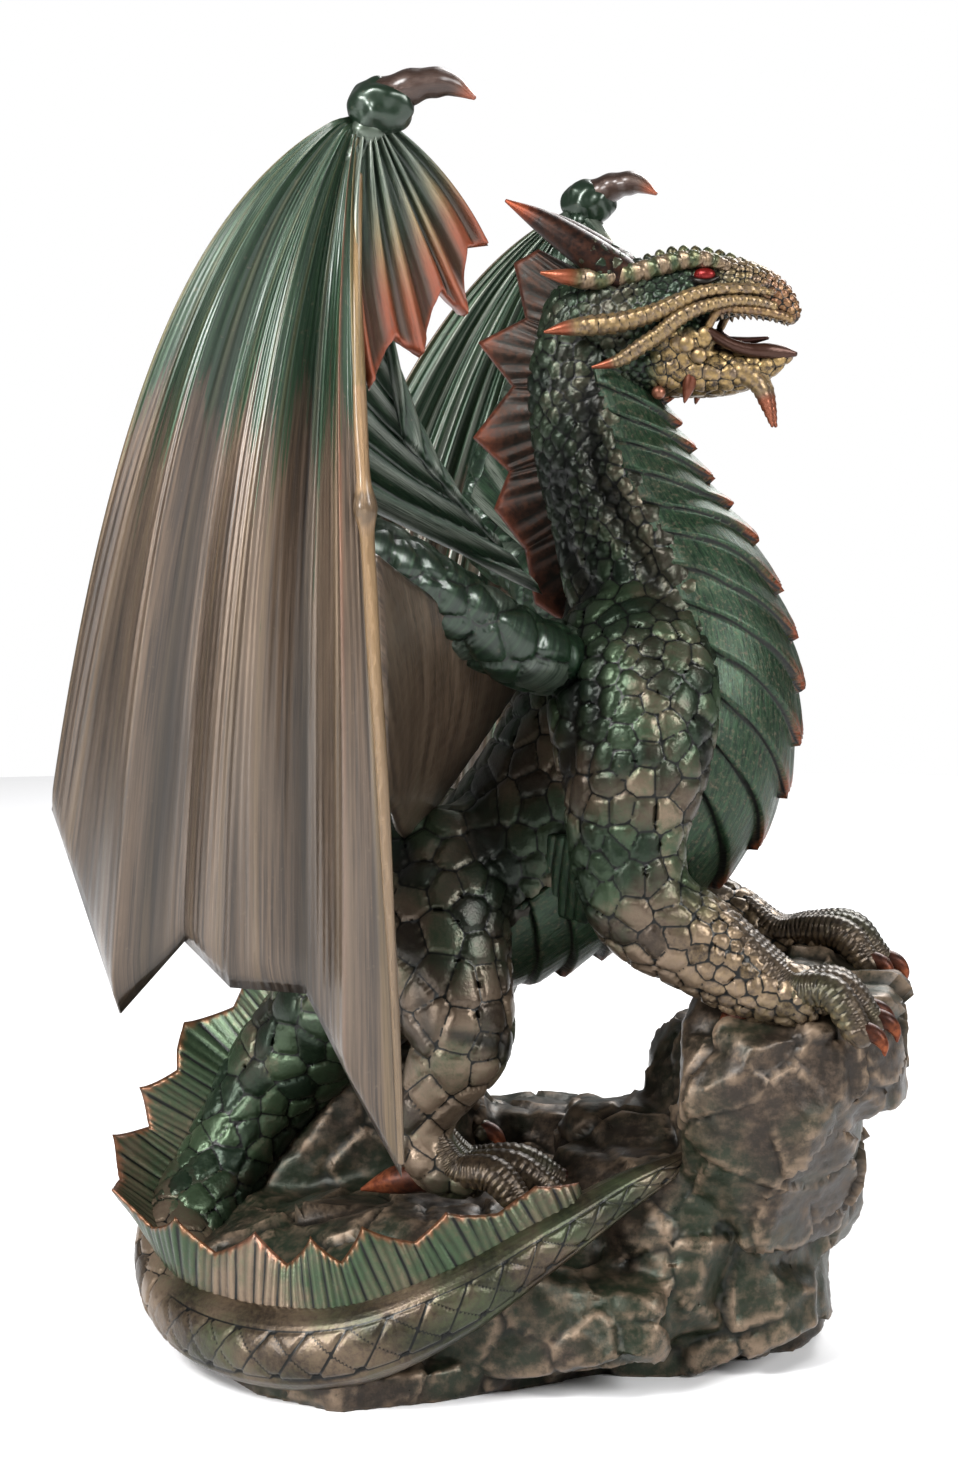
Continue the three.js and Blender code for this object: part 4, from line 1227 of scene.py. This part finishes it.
def make_feet():
    """Toes with the bars that run on up the shin, and their claws."""
    rows = detail(90, 132)
    toes, claws = [], []
    for leg, spread, heel, thick in (
        (FORE_RIGHT, FORE_TOES, (12, 18), 4.9),
        (FORE_LEFT, FORE_TOES, None, 4.9),
        (HIND_RIGHT, HIND_TOES, (24, 8), 5.2),
        (HIND_LEFT, HIND_TOES, None, 5.2),
    ):
        stations, flank = leg_stations(leg), leg[1]
        x, y, z = stations[-1][:3]
        shin, _, _, above = frames_along(stations, np.array([5.1, 6.1]) / 7)
        above = above * np.sign(above[:, 2:3])
        shin = shin[:, :3] + above * (shin[:, 4] - 3.4)[:, None]
        for out, reach, drop in spread:
            s = out * flank
            apart = s * 0.28
            path = [
                (shin[0][0], shin[0][1] + apart, shin[0][2], 3.2, 3.0),
                (shin[1][0], shin[1][1] + apart * 1.5, shin[1][2], 4.2, 3.8),
                (x - 3, y + s * 0.5, z + 3.5, 4.6, 4.6),
                (x + reach * 0.5, y + s * 0.78, z + 3.0, thick, thick),
                (x + reach, y + s, z - drop, 3.9, 4.1),
            ]
            toes.append(tube(path, 27, rows, relief=banded(13, 1.0), masks=toe_masks(1.0)))
            end = (x + reach, y + s, z - drop)
            path = [
                (end[0] + ahead, end[1] + s * aside, end[2] + up, *half)
                for ahead, aside, up, *half in CLAW
            ]
            claws.append(tube(path, 16, 30, masks=claw_masks))
        if heel:
            hx, hy, hz = stations[-2][:3]
            back, down = heel
            path = [
                (hx, hy, hz - 2, 5, 5),
                (hx - back * 0.6, hy, hz - down * 0.6, 4, 4),
                (hx - back, hy, hz - down, 0.6, 0.6),
            ]
            claws.append(tube(path, 18, 40, masks=claw_masks))
    finished("dragon_claws", gathered(claws), "painted_claws")
    finished("dragon_toes", gathered(toes))


# ------------------------------------------------------------------ rock

ROCK_OUTLINE = (
    (-108, 14), (-96, -14), (-74, -46), (-46, -76), (-18, -86), (6, -70), (30, -48), (52, -24),
    (76, -4), (97, 6), (98, 30), (90, 58), (50, 77), (-12, 80), (-64, 68), (-97, 44),
)
PLATE_HIGH = 9
# Each stone: where, half sizes, turned about the upright, leaned, and its own number.
STONES = (
    ((-14, 4, 20), (80, 68, 27), 0, 0, 1),
    ((-64, 14, 16), (36, 46, 25), 20, 0, 2),
    ((-38, 26, 44), (34, 26, 38), 10, 0, 3),
    ((14, 44, 34), (50, 28, 28), -8, 0, 4),
    ((56, 20, 24), (42, 50, 28), 12, 0, 5),
    ((56, -18, 40), (27, 20, 24), -24, 6, 6),
    ((80, -12, 31), (13, 12, 12), 18, 0, 7),
    ((91, -6, 78), (24, 38, 40), 4, 22, 8),
    ((105, 2, 95), (22, 38, 19), 6, 6, 9),
    ((98, 28, 97), (24, 24, 21), -10, 0, 10),
    ((76, 20, 60), (26, 36, 36), 0, 0, 11),
    ((50, 10, 52), (26, 28, 22), 30, 0, 12),
    ((91, 24, 44), (20, 28, 20), -15, 0, 13),
    ((82, 22, 20), (20, 34, 20), 10, 0, 14),
    ((54, -8, 13), (38, 22, 16), 36, 0, 15),
)
STONE_CUTS, CUT_NEAREST, CUT_FURTHEST = 18, 0.92, 1.3


def chance(seed, i):
    """An even spread of numbers from 0 to 1, the same in every run."""
    value = math.sin(seed * 127.1 + i * 311.7) * 43758.5453
    return value - math.floor(value)


def cut_off(bm, at, way):
    """Takes away all that lies past a plane and gives the rim of the cut."""
    cut = bmesh.ops.bisect_plane(
        bm,
        geom=bm.verts[:] + bm.edges[:] + bm.faces[:],
        plane_co=at,
        plane_no=way,
        clear_outer=True,
    )
    return [edge for edge in cut["geom_cut"] if isinstance(edge, bmesh.types.BMEdge)]


def stone(at, size, turn, lean, seed):
    """A block with its corners struck off by flat cuts, turned about Z and then leaned about X."""
    lean = Quaternion((1, 0, 0), math.radians(lean))
    turn = Quaternion((0, 0, 1), math.radians(turn))
    stance = Matrix.LocRotScale(Vector(at), lean @ turn, Vector(size))

    def strike(bm):
        bmesh.ops.create_cube(bm, size=2)
        for i in range(STONE_CUTS):
            height = 1 - (2 * i + 1) / STONE_CUTS
            angle = i * math.pi * (3 - math.sqrt(5)) + seed
            level = math.sqrt(1 - height * height)
            way = Vector((level * math.cos(angle), level * math.sin(angle), height))
            depth = CUT_NEAREST + (CUT_FURTHEST - CUT_NEAREST) * chance(seed, i)
            rim = cut_off(bm, way * depth, way)
            if rim:
                bmesh.ops.contextual_create(bm, geom=rim)
        bmesh.ops.transform(bm, matrix=stance, verts=bm.verts)

    return built("stone", strike)


def plate():
    """The flat foot under the stones."""

    def raise_outline(bm):
        face = bm.faces.new([bm.verts.new((x, y, 0)) for x, y in ROCK_OUTLINE])
        raised = bmesh.ops.extrude_face_region(bm, geom=[face])
        top = [v for v in raised["geom"] if isinstance(v, bmesh.types.BMVert)]
        bmesh.ops.translate(bm, verts=top, vec=(0, 0, PLATE_HIGH))

    return built("plate", raise_outline)


def flat_bottomed(mesh):
    """The mesh cut level with the floor and closed there."""

    def cut(bm):
        bm.from_mesh(mesh)
        bpy.data.meshes.remove(mesh)
        bmesh.ops.holes_fill(bm, edges=cut_off(bm, (0, 0, 0.02), (0, 0, -1)))
        bmesh.ops.recalc_face_normals(bm, faces=bm.faces)

    return built("rock", cut)


def make_rock():
    """Foot and stones melted into one, with flat facets and chipped edges."""
    voxel = detail(2.4, 1.8)
    mesh = flat_bottomed(cast_in_one(gathered([plate()] + [stone(*s) for s in STONES]), voxel, 1))
    co = points_of(mesh)
    foot = smooth_step(-co[:, 2], -3.0, 0.0)
    carve_scales(mesh, 17 + 6 * wobble(co, 40, 8), voxel, 0.9, 41, plain=foot, dome=0, tip=0.11)
    co, normals = points_of(mesh), normals_of(mesh)
    chips = wobble(co, 11, 1) * 0.7 + wobble(co * (1, 1, 2.2), 4.5, 2) * 0.55
    set_points(mesh, co + normals * (chips * (1 - foot))[:, None])
    smoothed = eased(points_of(mesh), edges_of(mesh), 6)
    edge = np.sum((points_of(mesh) - smoothed) * normals_of(mesh), axis=1)
    finished(
        "rock_base",
        mesh,
        "painted_stone",
        edge=smooth_step(edge, 0.15, 0.7),
        # painted shade where the surface dips below its smoothed self
        shade=smooth_step(-edge, 0.2, 1.0) * 0.7,
    )


# ------------------------------------------------------------------ wings

WRIST = (0, 114, 354)
FINGERS = (
    (0, (-47, 119, 338), (-77, 101, 270), (-104, 79, 166)),
    (0.12, (-42, 121, 334), (-70, 108, 262), (-94, 87, 148)),
    (0.27, (-36, 124, 328), (-60, 115, 258), (-74, 104, 113)),
    (0.4, (-30, 119, 322), (-46, 109, 250), (-55, 104, 134)),
    (0.58, (-20, 125, 316), (-33, 121, 240), (-38, 115, 124)),
    (0.76, (-13, 117, 314), (-20, 109, 236), (-19, 108, 122)),
    (0.9, (-7, 121, 306), (0, 119, 226), (-6, 109, 98)),
    (1, (-5, 121, 300), (7, 124, 224), (7, 106, 73)),
)
FRONT_RIBS = (
    (0, (-4, 120, 332), (-3, 119, 306), (0, 111, 282)),
    (0.2, (1, 115, 332), (2, 110, 310), (4, 104, 296)),
    (0.36, (4, 114, 334), (8, 107, 312), (10, 98, 291)),
    (0.54, (7, 111, 336), (12, 101, 318), (14, 95, 309)),
    (0.7, (9, 110, 338), (15, 98, 318), (20, 90, 302)),
    (0.86, (11, 107, 342), (17, 93, 328), (19, 88, 320)),
    (1, (14, 107, 346), (21, 94, 334), (25, 84, 321)),
)
WEB_SHOULDER, WEB_HIP = (22, 26, 204), (-16, 22, 152)
ARM_WEB = ((26, 26, 226), (-26, 76, 258), (-2, 106, 332), (0, 80, 270))
ARM = (
    (29, 12, 208, 10, 13), (27, 38, 209, 10, 13), (14, 57, 219, 10.5, 13.5), (-4, 80, 235, 10.5, 13),
    (-25, 98, 248, 10, 12), (-25, 101, 268, 7, 8), (-12, 107, 306, 4.6, 5), (0, 112, 348, 4.6, 5),
)
THUMB = (
    (4, 113, 356, 6, 6), (13, 112, 360, 5, 4.4), (21, 110, 360.5, 3.6, 3.4),
    (27.5, 108, 357, 0.7, 0.7),
)
KNUCKLE = ((4, 113, 355), (9, 7, 7.5))
LEFT_SHIFT, LEFT_SWEEP = (3, 0, -6), (-34, 16)  # the left wing's place; how its tips go back and up
WEB_SHARES = (0.74, 0.53)  # where the lower web's corners meet the last finger


def bezier(start, rib, v):
    """Points down a bent rib: rib holds its place across the fan, two handles and its tip."""
    a, b, c, d = (np.asarray(p, float) for p in (start, *rib[1:]))
    v = v[:, None]
    return a * (1 - v) ** 3 + 3 * b * v * (1 - v) ** 2 + 3 * c * v**2 * (1 - v) + d * v**3


def fan(start, ribs, u, v):
    """Where a fan of bent ribs is at u across and v down: round between ribs, pointed at its tips."""
    lines = np.stack([bezier(start, rib, v) for rib in ribs])
    at = np.array([rib[0] for rib in ribs], float)
    high = np.clip(np.searchsorted(at, u, side="left"), 1, len(at) - 1)
    low = high - 1
    index = np.arange(len(u))
    gap = (at[high] - at[low])[:, None]
    w = np.clip((u - at[low]) / (at[high] - at[low]), 0, 1)[:, None]
    a, b = lines[low, index], lines[high, index]
    before, after = np.maximum(low - 1, 0), np.minimum(high + 1, len(at) - 1)
    m1 = (b - lines[before, index]) / (at[high] - at[before])[:, None] * gap
    m2 = (lines[after, index] - a) / (at[after] - at[low])[:, None] * gap
    curved = (
        a * (1 + 2 * w) * (1 - w) ** 2 + m1 * w * (1 - w) ** 2
        + b * w**2 * (3 - 2 * w) + m2 * w**2 * (w - 1)
    )
    pointed = smooth_step(v, 0.8, 1)[:, None]
    return curved * (1 - pointed) + (a * (1 - w) + b * w) * pointed


def swept(ribs, back, up):
    """The fan with its front ribs moved, the more the nearer to their tips."""
    shift = lambda p, share: (p[0] + back * share, p[1], p[2] + up * share)
    return tuple(
        (u, shift(one, u * 0.2), shift(two, u * 0.6), shift(tip, u)) for u, one, two, tip in ribs
    )


def sheet(surface, cols, rows, thick, facing, first=0.0, carve=None):
    """A thin closed board over surface(u, v): half its width is one face, half the other.

    carve(u, v) gives millimetres that both faces shift, millimetres that each swells, and masks.
    """
    out = unit(np.asarray(facing, float))

    def place(u, v):
        back = u > 0.5
        across = np.where(back, 2 - u * 2, u * 2)
        down = first + (1 - first) * v
        at = surface(across, down)
        rim = np.clip(np.minimum(across, 1 - across) * 40, 0, 1) ** 0.5
        rim *= np.clip(np.minimum(v, 1 - v) * 40, 0, 1) ** 0.5
        side = np.where(back, -1.0, 1.0)
        shift, swell, masks = carve(across, down) if carve else (0 * u, 0 * u, {})
        move = side * (thick / 2 + swell) * rim + shift * rim
        masks = {"across": across, "along": down, **masks}
        return at + out * move[:, None], masks

    return grid(cols * 2, rows, place)


def ridges(u, places, widths):
    """From 0 to 1, how near u is to a rib."""
    return np.max([np.exp(-(((u - p) / w) ** 2)) for p, w in zip(places, widths)], axis=0)


def combed(u, v, lines, seed):
    """Fine uneven lines that run down a membrane, from -1 to 1."""
    drift = 0.5 * np.sin(v * 5 + u * 9 + seed)
    one = np.sin(u * lines * 2 * np.pi + drift + seed)
    two = np.sin(u * lines * 1.37 * np.pi + 2 * drift + 1.7 * seed)
    return 0.6 * one + 0.4 * two * np.sin(v * 7 + u * 23)


def sail_carving(inner):
    """The main sail: ribs over its fingers, soft folds between them, combed all over."""

    def carve(u, v):
        rib = ridges(u, (0.0, 0.27, 0.58, 0.9, 1.0), (0.016, 0.013, 0.013, 0.012, 0.02))
        low = smooth_step(v, 0.25, 0.7)
        rib = rib * (0.35 + 0.65 * smooth_step(v, 0.0, 0.15)) * (1 - 0.45 * low)
        lines = combed(u, v, 46, 1.0)
        fold = 1.5 * np.sin(u * 29 + 1.2 * np.sin(v * 3)) * smooth_step(v, 0.15, 0.5)
        swell = 1.5 * rib + 0.16 * lines * smooth_step(v, 0.03, 0.2)
        valley = ridges(u, (0.33, 0.76), (0.03, 0.03)) * smooth_step(v, 0.25, 0.6)
        hem = smooth_step(v, 0.985, 1.0)
        gold = ridges(u, (0.02, 0.985), (0.012, 0.012)) * (0.5 - 0.25 * smooth_step(v, 0.5, 0.9))
        masks = {
            "gold": np.clip(gold * 0.8 + 0.10 * smooth_step(np.sin(u * 57 + 2), 0.7, 1), 0, 1),
            "copper": ridges(u, (0.0, 0.9), (0.008, 0.006)) * 0.4 * (1 - 0.8 * smooth_step(v, 0.4, 0.8)),
            "groove": smooth_step(-lines, 0.75, 1.0) * 0.68 * smooth_step(v, 0.03, 0.12),
            # painted shade in the valleys between the ribs and the hollows of the folds, and darker
            # along the hem and towards the bottom
            "shade": np.clip(0.4 * valley + 0.35 * hem + 0.16 * smooth_step(-fold, 0.4, 1.5)
                             + 0.28 * smooth_step(v, 0.5, 0.85), 0, 0.8),
        }
        if inner:
            swell = swell + 0.5 * rib + 0.5 * combed(u, v, 17, 2.0)
            # painted highlight on the crests of the inner folds
            masks["edge"] = 0.9 * smooth_step(combed(u, v, 17, 2.0), 0.1, 0.8)
            masks["gold"] = masks["gold"] * 0.3
        return fold, swell, masks

    return carve


def front_carving(u, v):
    """The small front sail: sharp ribs with painted highlights, painted shade in the hollows between,
    orange towards its hem.
    """
    at = tuple(rib[0] for rib in FRONT_RIBS)
    rib = ridges(u, at, (0.035,) * len(at))
    lines = combed(u, v, 22, 3.0)
    hollow = smooth_step(0.35 - rib, 0, 0.3)
    hem = smooth_step(v, 0.93, 1.0)
    masks = {
        "copper": np.clip(0.9 * smooth_step(v, 0.45, 0.85) * (1 - hollow * 0.6) + hem, 0, 1),
        "gold": 0.75 * rib * smooth_step(v, 0.3, 0.6) * (1 - smooth_step(v, 0.8, 0.95)),
        "groove": smooth_step(-lines, 0.6, 0.95) * 0.85,
        "shade": 0.5 * hollow * smooth_step(v, 0.05, 0.3) * (1 - hem),
        "edge": 0.6 * rib,
    }
    return -0.9 * hollow, 1.3 * rib + 0.2 * lines + 0.5 * hem, masks


def web_carving(u, v):
    """The web below the arm: brushed slantwise, no ribs."""
    lines = combed(u + 0.35 * v, v, 30, 4.0)
    return 0.8 * np.sin(u * 7 + v * 3), 0.25 * lines, {
        "across": u + 0.5 * v,
        "along": v * 0.8,
        "groove": smooth_step(-lines, 0.6, 0.95) * 0.7,
        # painted shade where the web meets the body and along its top edge
        "shade": 0.55 * smooth_step(u, 0.3, 0.0) + 0.3 * smooth_step(v, 0.1, 0.0),
    }


def fold_carving(u, v):
    """The web above the arm: long parallel folds, with painted highlights on their crests and painted
    shade in their troughs.
    """
    phase = (v + 0.18 * np.sin(u * 2.2)) * 2 * np.pi * 7
    fold = np.abs(np.sin(phase / 2)) ** 0.6
    lines = combed(v, u, 40, 5.0)
    return 0 * u, 1.8 * fold - 1.0 + 0.15 * lines, {
        "across": v * 1.4,
        "along": u,
        "green": 1.0 + 0 * u,
        "edge": 0.6 * smooth_step(fold, 0.8, 1.0),
        "shade": 0.75 * smooth_step(0.45 - fold, 0, 0.35),
    }


def leading_rib(fingers):
    """The knuckled rib that stiffens the sail's front edge."""
    last = [bezier(WRIST, fingers[-1], np.array([v]))[0] for v in np.linspace(0.1, 0.99, 12)]
    return [(*at, *(0.8 + 1.1 * math.sin(0.3 + i / 4),) * 2) for i, at in enumerate(last)]


def knuckles(t, angle):
    """Relief of a rib: one knuckle before its middle, and fine lines along it."""
    return 1.4 * np.exp(-(((t - 0.44) / 0.018) ** 2)) + 0.12 * np.sin(angle * 9 + t * 30)


def board(corners):
    """A flat or twisted surface between four corners."""
    a, b, c, d = (np.asarray(corner, float) for corner in corners)

    def surface(u, v):
        u, v = u[:, None], v[:, None]
        return (a * (1 - u) + b * u) * (1 - v) + (d * (1 - u) + c * u) * v

    return surface


def make_arm():
    """The wing's arm, in big glossy plates, with its knotted wrist."""
    cols, rows = detail((48, 130), (64, 180))
    arm = gathered([tube(ARM, cols, rows, across=Z)])
    co = points_of(arm)
    _, t, _ = from_line(co, ARM, 200)
    carve_scales(arm, 11.0 - 4.0 * t, 0.9, 0.9, 31, dome=0.9)
    groove = kept(arm, "groove")
    knots = wobble(co, 5, 9) * smooth_step(t, 0.86, 0.95)
    set_points(arm, points_of(arm) + normals_of(arm) * knots[:, None])
    shoulder = smooth_step(0.2 - t, 0, 0.12)
    return painted(
        arm,
        green=1.3,
        shade=0.25 * (1 - shoulder),
        groove=groove * (1 - 0.4 * smooth_step(t, 0.85, 0.95)),
        across=t * 1.5,
        along=kept(arm, "tint") * 3,
        edge=0.25 * (kept(arm, "tint") > 0.75) * (1 - groove),
    )


def rib_masks(t, angle, raised):
    """Colours of a rib, gold near the wrist and plain at its tip."""
    return {
        "gold": 0.5 * (1 - 0.6 * smooth_step(t, 0.5, 0.9)),
        "copper": 0.2 * (1 - t),
        "green": 0.9 * (t < 0.3),
        "shade": 0.5 * (raised > 0.6),
    }


def thumb_masks(t, angle, raised):
    """Dark horn with a copper point."""
    return {
        "copper": 0.3 + 0.5 * smooth_step(t, 0.75, 0.95),
        "shade": 0.75 * (1 - smooth_step(t, 0.7, 0.95)),
    }


def wing_knuckle():
    """The knob where the ribs of a wing meet."""
    knuckle = ball(KNUCKLE[0], KNUCKLE[1], 5, green=0.9, shade=0.35)
    at = points_of(knuckle)
    set_points(knuckle, at + unit(at - KNUCKLE[0]) * wobble(at, 4, 3)[:, None])
    return knuckle


def make_wing(flank):
    """Sail, front sail, the webs below and above the arm, arm, rib, thumb and knuckle."""
    is_left = flank == LEFT
    fingers = swept(FINGERS, *LEFT_SWEEP) if is_left else FINGERS
    low, high = bezier(WRIST, fingers[-1], np.array(WEB_SHARES))
    fine = detail(0.5, 1.0)
    squares = lambda cols, rows: (int(cols * fine), int(rows * fine))
    sail = sheet(lambda u, v: fan(WRIST, fingers, u, v), *squares(170 if is_left else 250, 84), 4.4,
                 (-0.25, 0.96, 0.1), 0.03, sail_carving(is_left))
    front = sheet(lambda u, v: fan(WRIST, FRONT_RIBS, u, v), *squares(70, 48), 3.4,
                  (0.72, 0.69, 0), 0.08, front_carving)
    web = sheet(board((WEB_SHOULDER, high, low, WEB_HIP)), *squares(44, 32), 3.4,
                (0.9, -0.35, 0.25), 0, web_carving)
    folds = sheet(board(ARM_WEB), *squares(40, 76), 3.4, (0.75, 0.6, 0.3), 0, fold_carving)
    rib = tube(leading_rib(fingers), 12, int(150 * fine), across=Y, relief=knuckles, masks=rib_masks)
    thumb = tube(THUMB, 26, 60, relief=lambda t, a: 0.3 * np.sin(t * 25) * (1 - t), masks=thumb_masks)
    parts = [sail, front, web, folds, make_arm(), rib, thumb, wing_knuckle()]
    for part in parts:
        co = points_of(part)
        co[:, 1] *= flank
        set_points(part, co + (LEFT_SHIFT if is_left else (0, 0, 0)))
    height = points_of(sail)[:, 2]
    streak = 0.35 if is_left else 0.0
    painted(sail, green=np.clip(smooth_step(height, 225, 325) + streak, 0, 1.2))
    painted(front, green=0.95 - 0.35 * smooth_step(kept(front, "along"), 0.4, 0.9))
    painted(web, green=0.12)
    wing = "left_wing" if is_left else "right_wing"
    finished(wing + "_skin", gathered(parts), "painted_wing", wing, "wing_resin")


# ------------------------------------------------------------------ stage


FLOOR_RADIUS = 1.7  # metres
SOFT_LIGHT = 0.2  # of the white room on the statue; the camera sees it as 1
# Each lamp: place and size in metres, power in watts.
LAMPS = (
    ("key", (-0.6, -1.25, 1.25), 0.5, 42),
    ("side", (-0.84, -1.05, 0.4), 0.3, 15),
    ("front", (1.3, -0.7, 0.9), 0.6, 26),
    ("back", (0.4, 1.4, 1.4), 1.0, 40),
)
CAMERA_AT, CAMERA_DOWN = (232.9, -869.3, 263), math.radians(5.23)
SENSOR, LENS = 36, 73.4  # millimetres


def placed(name, data, at, way):
    """A lamp or camera at a place, looking that way."""
    holder = bpy.data.objects.new(name, data)
    holder.location = at
    holder.rotation_euler = way.to_track_quat("-Z", "Y").to_euler()
    bpy.context.scene.collection.objects.link(holder)
    return holder


def make_floor(pale):
    """A wide disc of pale paper under the rock."""
    disc = {"cap_ends": True, "segments": 96, "radius": FLOOR_RADIUS}
    mesh = built("floor", lambda bm: bmesh.ops.create_circle(bm, **disc))
    paper = Paint("stage_paper", 0.0, 0.9)
    tone = paper.over(paper.grain(3, 2), rgb(pale, pale, pale), rgb(pale * 0.98, pale * 0.98, pale))
    mesh.materials.append(paper.wear(tone))
    floor = bpy.data.objects.new("floor", mesh)
    floor.location = (0, 0, SOLID_BOX[0].z)
    bpy.context.scene.collection.objects.link(floor)


def make_room():
    """A white world, dimmer for everything but the camera."""
    world = bpy.data.worlds.new("studio")
    bpy.context.scene.world = world
    world.use_nodes = True
    nodes, links = world.node_tree.nodes, world.node_tree.links
    strength = nodes.new("ShaderNodeMapRange")
    strength.inputs["To Min"].default_value = SOFT_LIGHT
    links.new(nodes.new("ShaderNodeLightPath").outputs["Is Camera Ray"], strength.inputs["Value"])
    nodes["Background"].inputs["Color"].default_value = (1, 1, 1, 1)
    links.new(strength.outputs["Result"], nodes["Background"].inputs["Strength"])
    bpy.context.scene.view_settings.view_transform = "Standard"


def make_stage(turn, pale):
    """A pale floor, a white room, soft lights, and the camera low in front of the right flank."""
    make_floor(pale)
    make_room()
    middle = (SOLID_BOX[0] + SOLID_BOX[1]) / 2
    for name, at, size, power in LAMPS:
        lamp = bpy.data.lights.new(name, "AREA")
        lamp.energy, lamp.size = power, size
        placed(name, lamp, at, middle - Vector(at))
    view = bpy.data.cameras.new("view")
    view.sensor_fit = "VERTICAL"
    view.sensor_height, view.lens = SENSOR, LENS
    level, down = math.cos(CAMERA_DOWN), -math.sin(CAMERA_DOWN)
    look = Vector((-math.sin(turn) * level, math.cos(turn) * level, down))
    bpy.context.scene.camera = placed("view", view, TO_FRAME @ Vector(CAMERA_AT), look)


# ------------------------------------------------------------------ add-on


class BodySettings(bpy.types.PropertyGroup):
    scale_size: bpy.props.FloatProperty(
        name="Scale size", description="Width of a scale on the chest, in millimetres", default=6.0
    )
    plates: bpy.props.IntProperty(
        name="Scutes", description="Overlapping plates from throat to belly", default=19
    )
    tooth_length: bpy.props.FloatProperty(
        name="Teeth", description="Length of a tooth, in millimetres", default=2.3
    )


class StageSettings(bpy.types.PropertyGroup):
    camera_turn: bpy.props.FloatProperty(
        name="Camera turn",
        description="How far the camera stands round towards the dragon's front",
        default=math.radians(15),
        subtype="ANGLE",
    )
    paper: bpy.props.FloatProperty(
        name="Paper", description="How pale the floor is", default=0.86, subtype="FACTOR"
    )


class DRAGON_OT_rock(bpy.types.Operator):
    """Makes the stones the dragon stands on"""

    bl_idname = "dragon.rock"
    bl_label = "Rock"

    def execute(self, context):
        make_rock()
        return {"FINISHED"}


class DRAGON_OT_body(bpy.types.Operator):
    """Makes the scaled neck, trunk and legs"""

    bl_idname = "dragon.body"
    bl_label = "Body"

    def execute(self, context):
        make_body(context.scene.dragon_body.scale_size)
        return {"FINISHED"}


class DRAGON_OT_scutes(bpy.types.Operator):
    """Makes the overlapping plates of throat, chest and belly"""

    bl_idname = "dragon.scutes"
    bl_label = "Scutes"

    def execute(self, context):
        make_scutes(context.scene.dragon_body.plates)
        make_elbow_webs()
        return {"FINISHED"}


class DRAGON_OT_head(bpy.types.Operator):
    """Makes the head with its open beak"""

    bl_idname = "dragon.head"
    bl_label = "Head"

    def execute(self, context):
        make_head(context.scene.dragon_body.tooth_length)
        return {"FINISHED"}


class DRAGON_OT_spikes(bpy.types.Operator):
    """Makes the horns and the crest of the nape"""

    bl_idname = "dragon.spikes"
    bl_label = "Spikes and horns"

    def execute(self, context):
        make_spikes()
        return {"FINISHED"}


class DRAGON_OT_tail(bpy.types.Operator):
    """Makes the tail and its toothed crest"""

    bl_idname = "dragon.tail"
    bl_label = "Tail"

    def execute(self, context):
        make_tail()
        make_crest()
        return {"FINISHED"}


class DRAGON_OT_feet(bpy.types.Operator):
    """Makes the toes and claws"""

    bl_idname = "dragon.feet"
    bl_label = "Feet"

    def execute(self, context):
        make_feet()
        return {"FINISHED"}


class DRAGON_OT_wings(bpy.types.Operator):
    """Makes both wings"""

    bl_idname = "dragon.wings"
    bl_label = "Wings"

    def execute(self, context):
        make_wing(RIGHT)
        make_wing(LEFT)
        return {"FINISHED"}


class DRAGON_OT_stage(bpy.types.Operator):
    """Sets up floor, lights and camera"""

    bl_idname = "dragon.stage"
    bl_label = "Stage"

    def execute(self, context):
        settings = context.scene.dragon_stage
        make_stage(settings.camera_turn, settings.paper)
        return {"FINISHED"}


class DRAGON_PT_panel(bpy.types.Panel):
    """Lists the pieces of the statue"""

    bl_idname = "DRAGON_PT_panel"
    bl_label = "Dragon statue"
    bl_space_type = "VIEW_3D"
    bl_region_type = "UI"
    bl_category = "Dragon"

    def draw(self, context):
        for group in (context.scene.dragon_body, context.scene.dragon_stage):
            for key in group.bl_rna.properties.keys():
                if key not in ("rna_type", "name"):
                    self.layout.prop(group, key)
        for operator in OPERATORS:
            self.layout.operator(operator.bl_idname)


OPERATORS = (
    DRAGON_OT_stage,
    DRAGON_OT_rock,
    DRAGON_OT_body,
    DRAGON_OT_scutes,
    DRAGON_OT_head,
    DRAGON_OT_spikes,
    DRAGON_OT_tail,
    DRAGON_OT_feet,
    DRAGON_OT_wings,
)
CLASSES = (BodySettings, StageSettings, *OPERATORS, DRAGON_PT_panel)


def register():
    for one in CLASSES:
        bpy.utils.register_class(one)
    bpy.types.Scene.dragon_body = bpy.props.PointerProperty(type=BodySettings)
    bpy.types.Scene.dragon_stage = bpy.props.PointerProperty(type=StageSettings)


def unregister():
    del bpy.types.Scene.dragon_stage
    del bpy.types.Scene.dragon_body
    for one in reversed(CLASSES):
        bpy.utils.unregister_class(one)


def main():
    register()
    bpy.ops.dragon.stage()
    bpy.ops.dragon.rock()
    bpy.ops.dragon.body()
    bpy.ops.dragon.scutes()
    bpy.ops.dragon.head()
    bpy.ops.dragon.spikes()
    bpy.ops.dragon.tail()
    bpy.ops.dragon.feet()
    bpy.ops.dragon.wings()


if __name__ == "__main__":
    main()
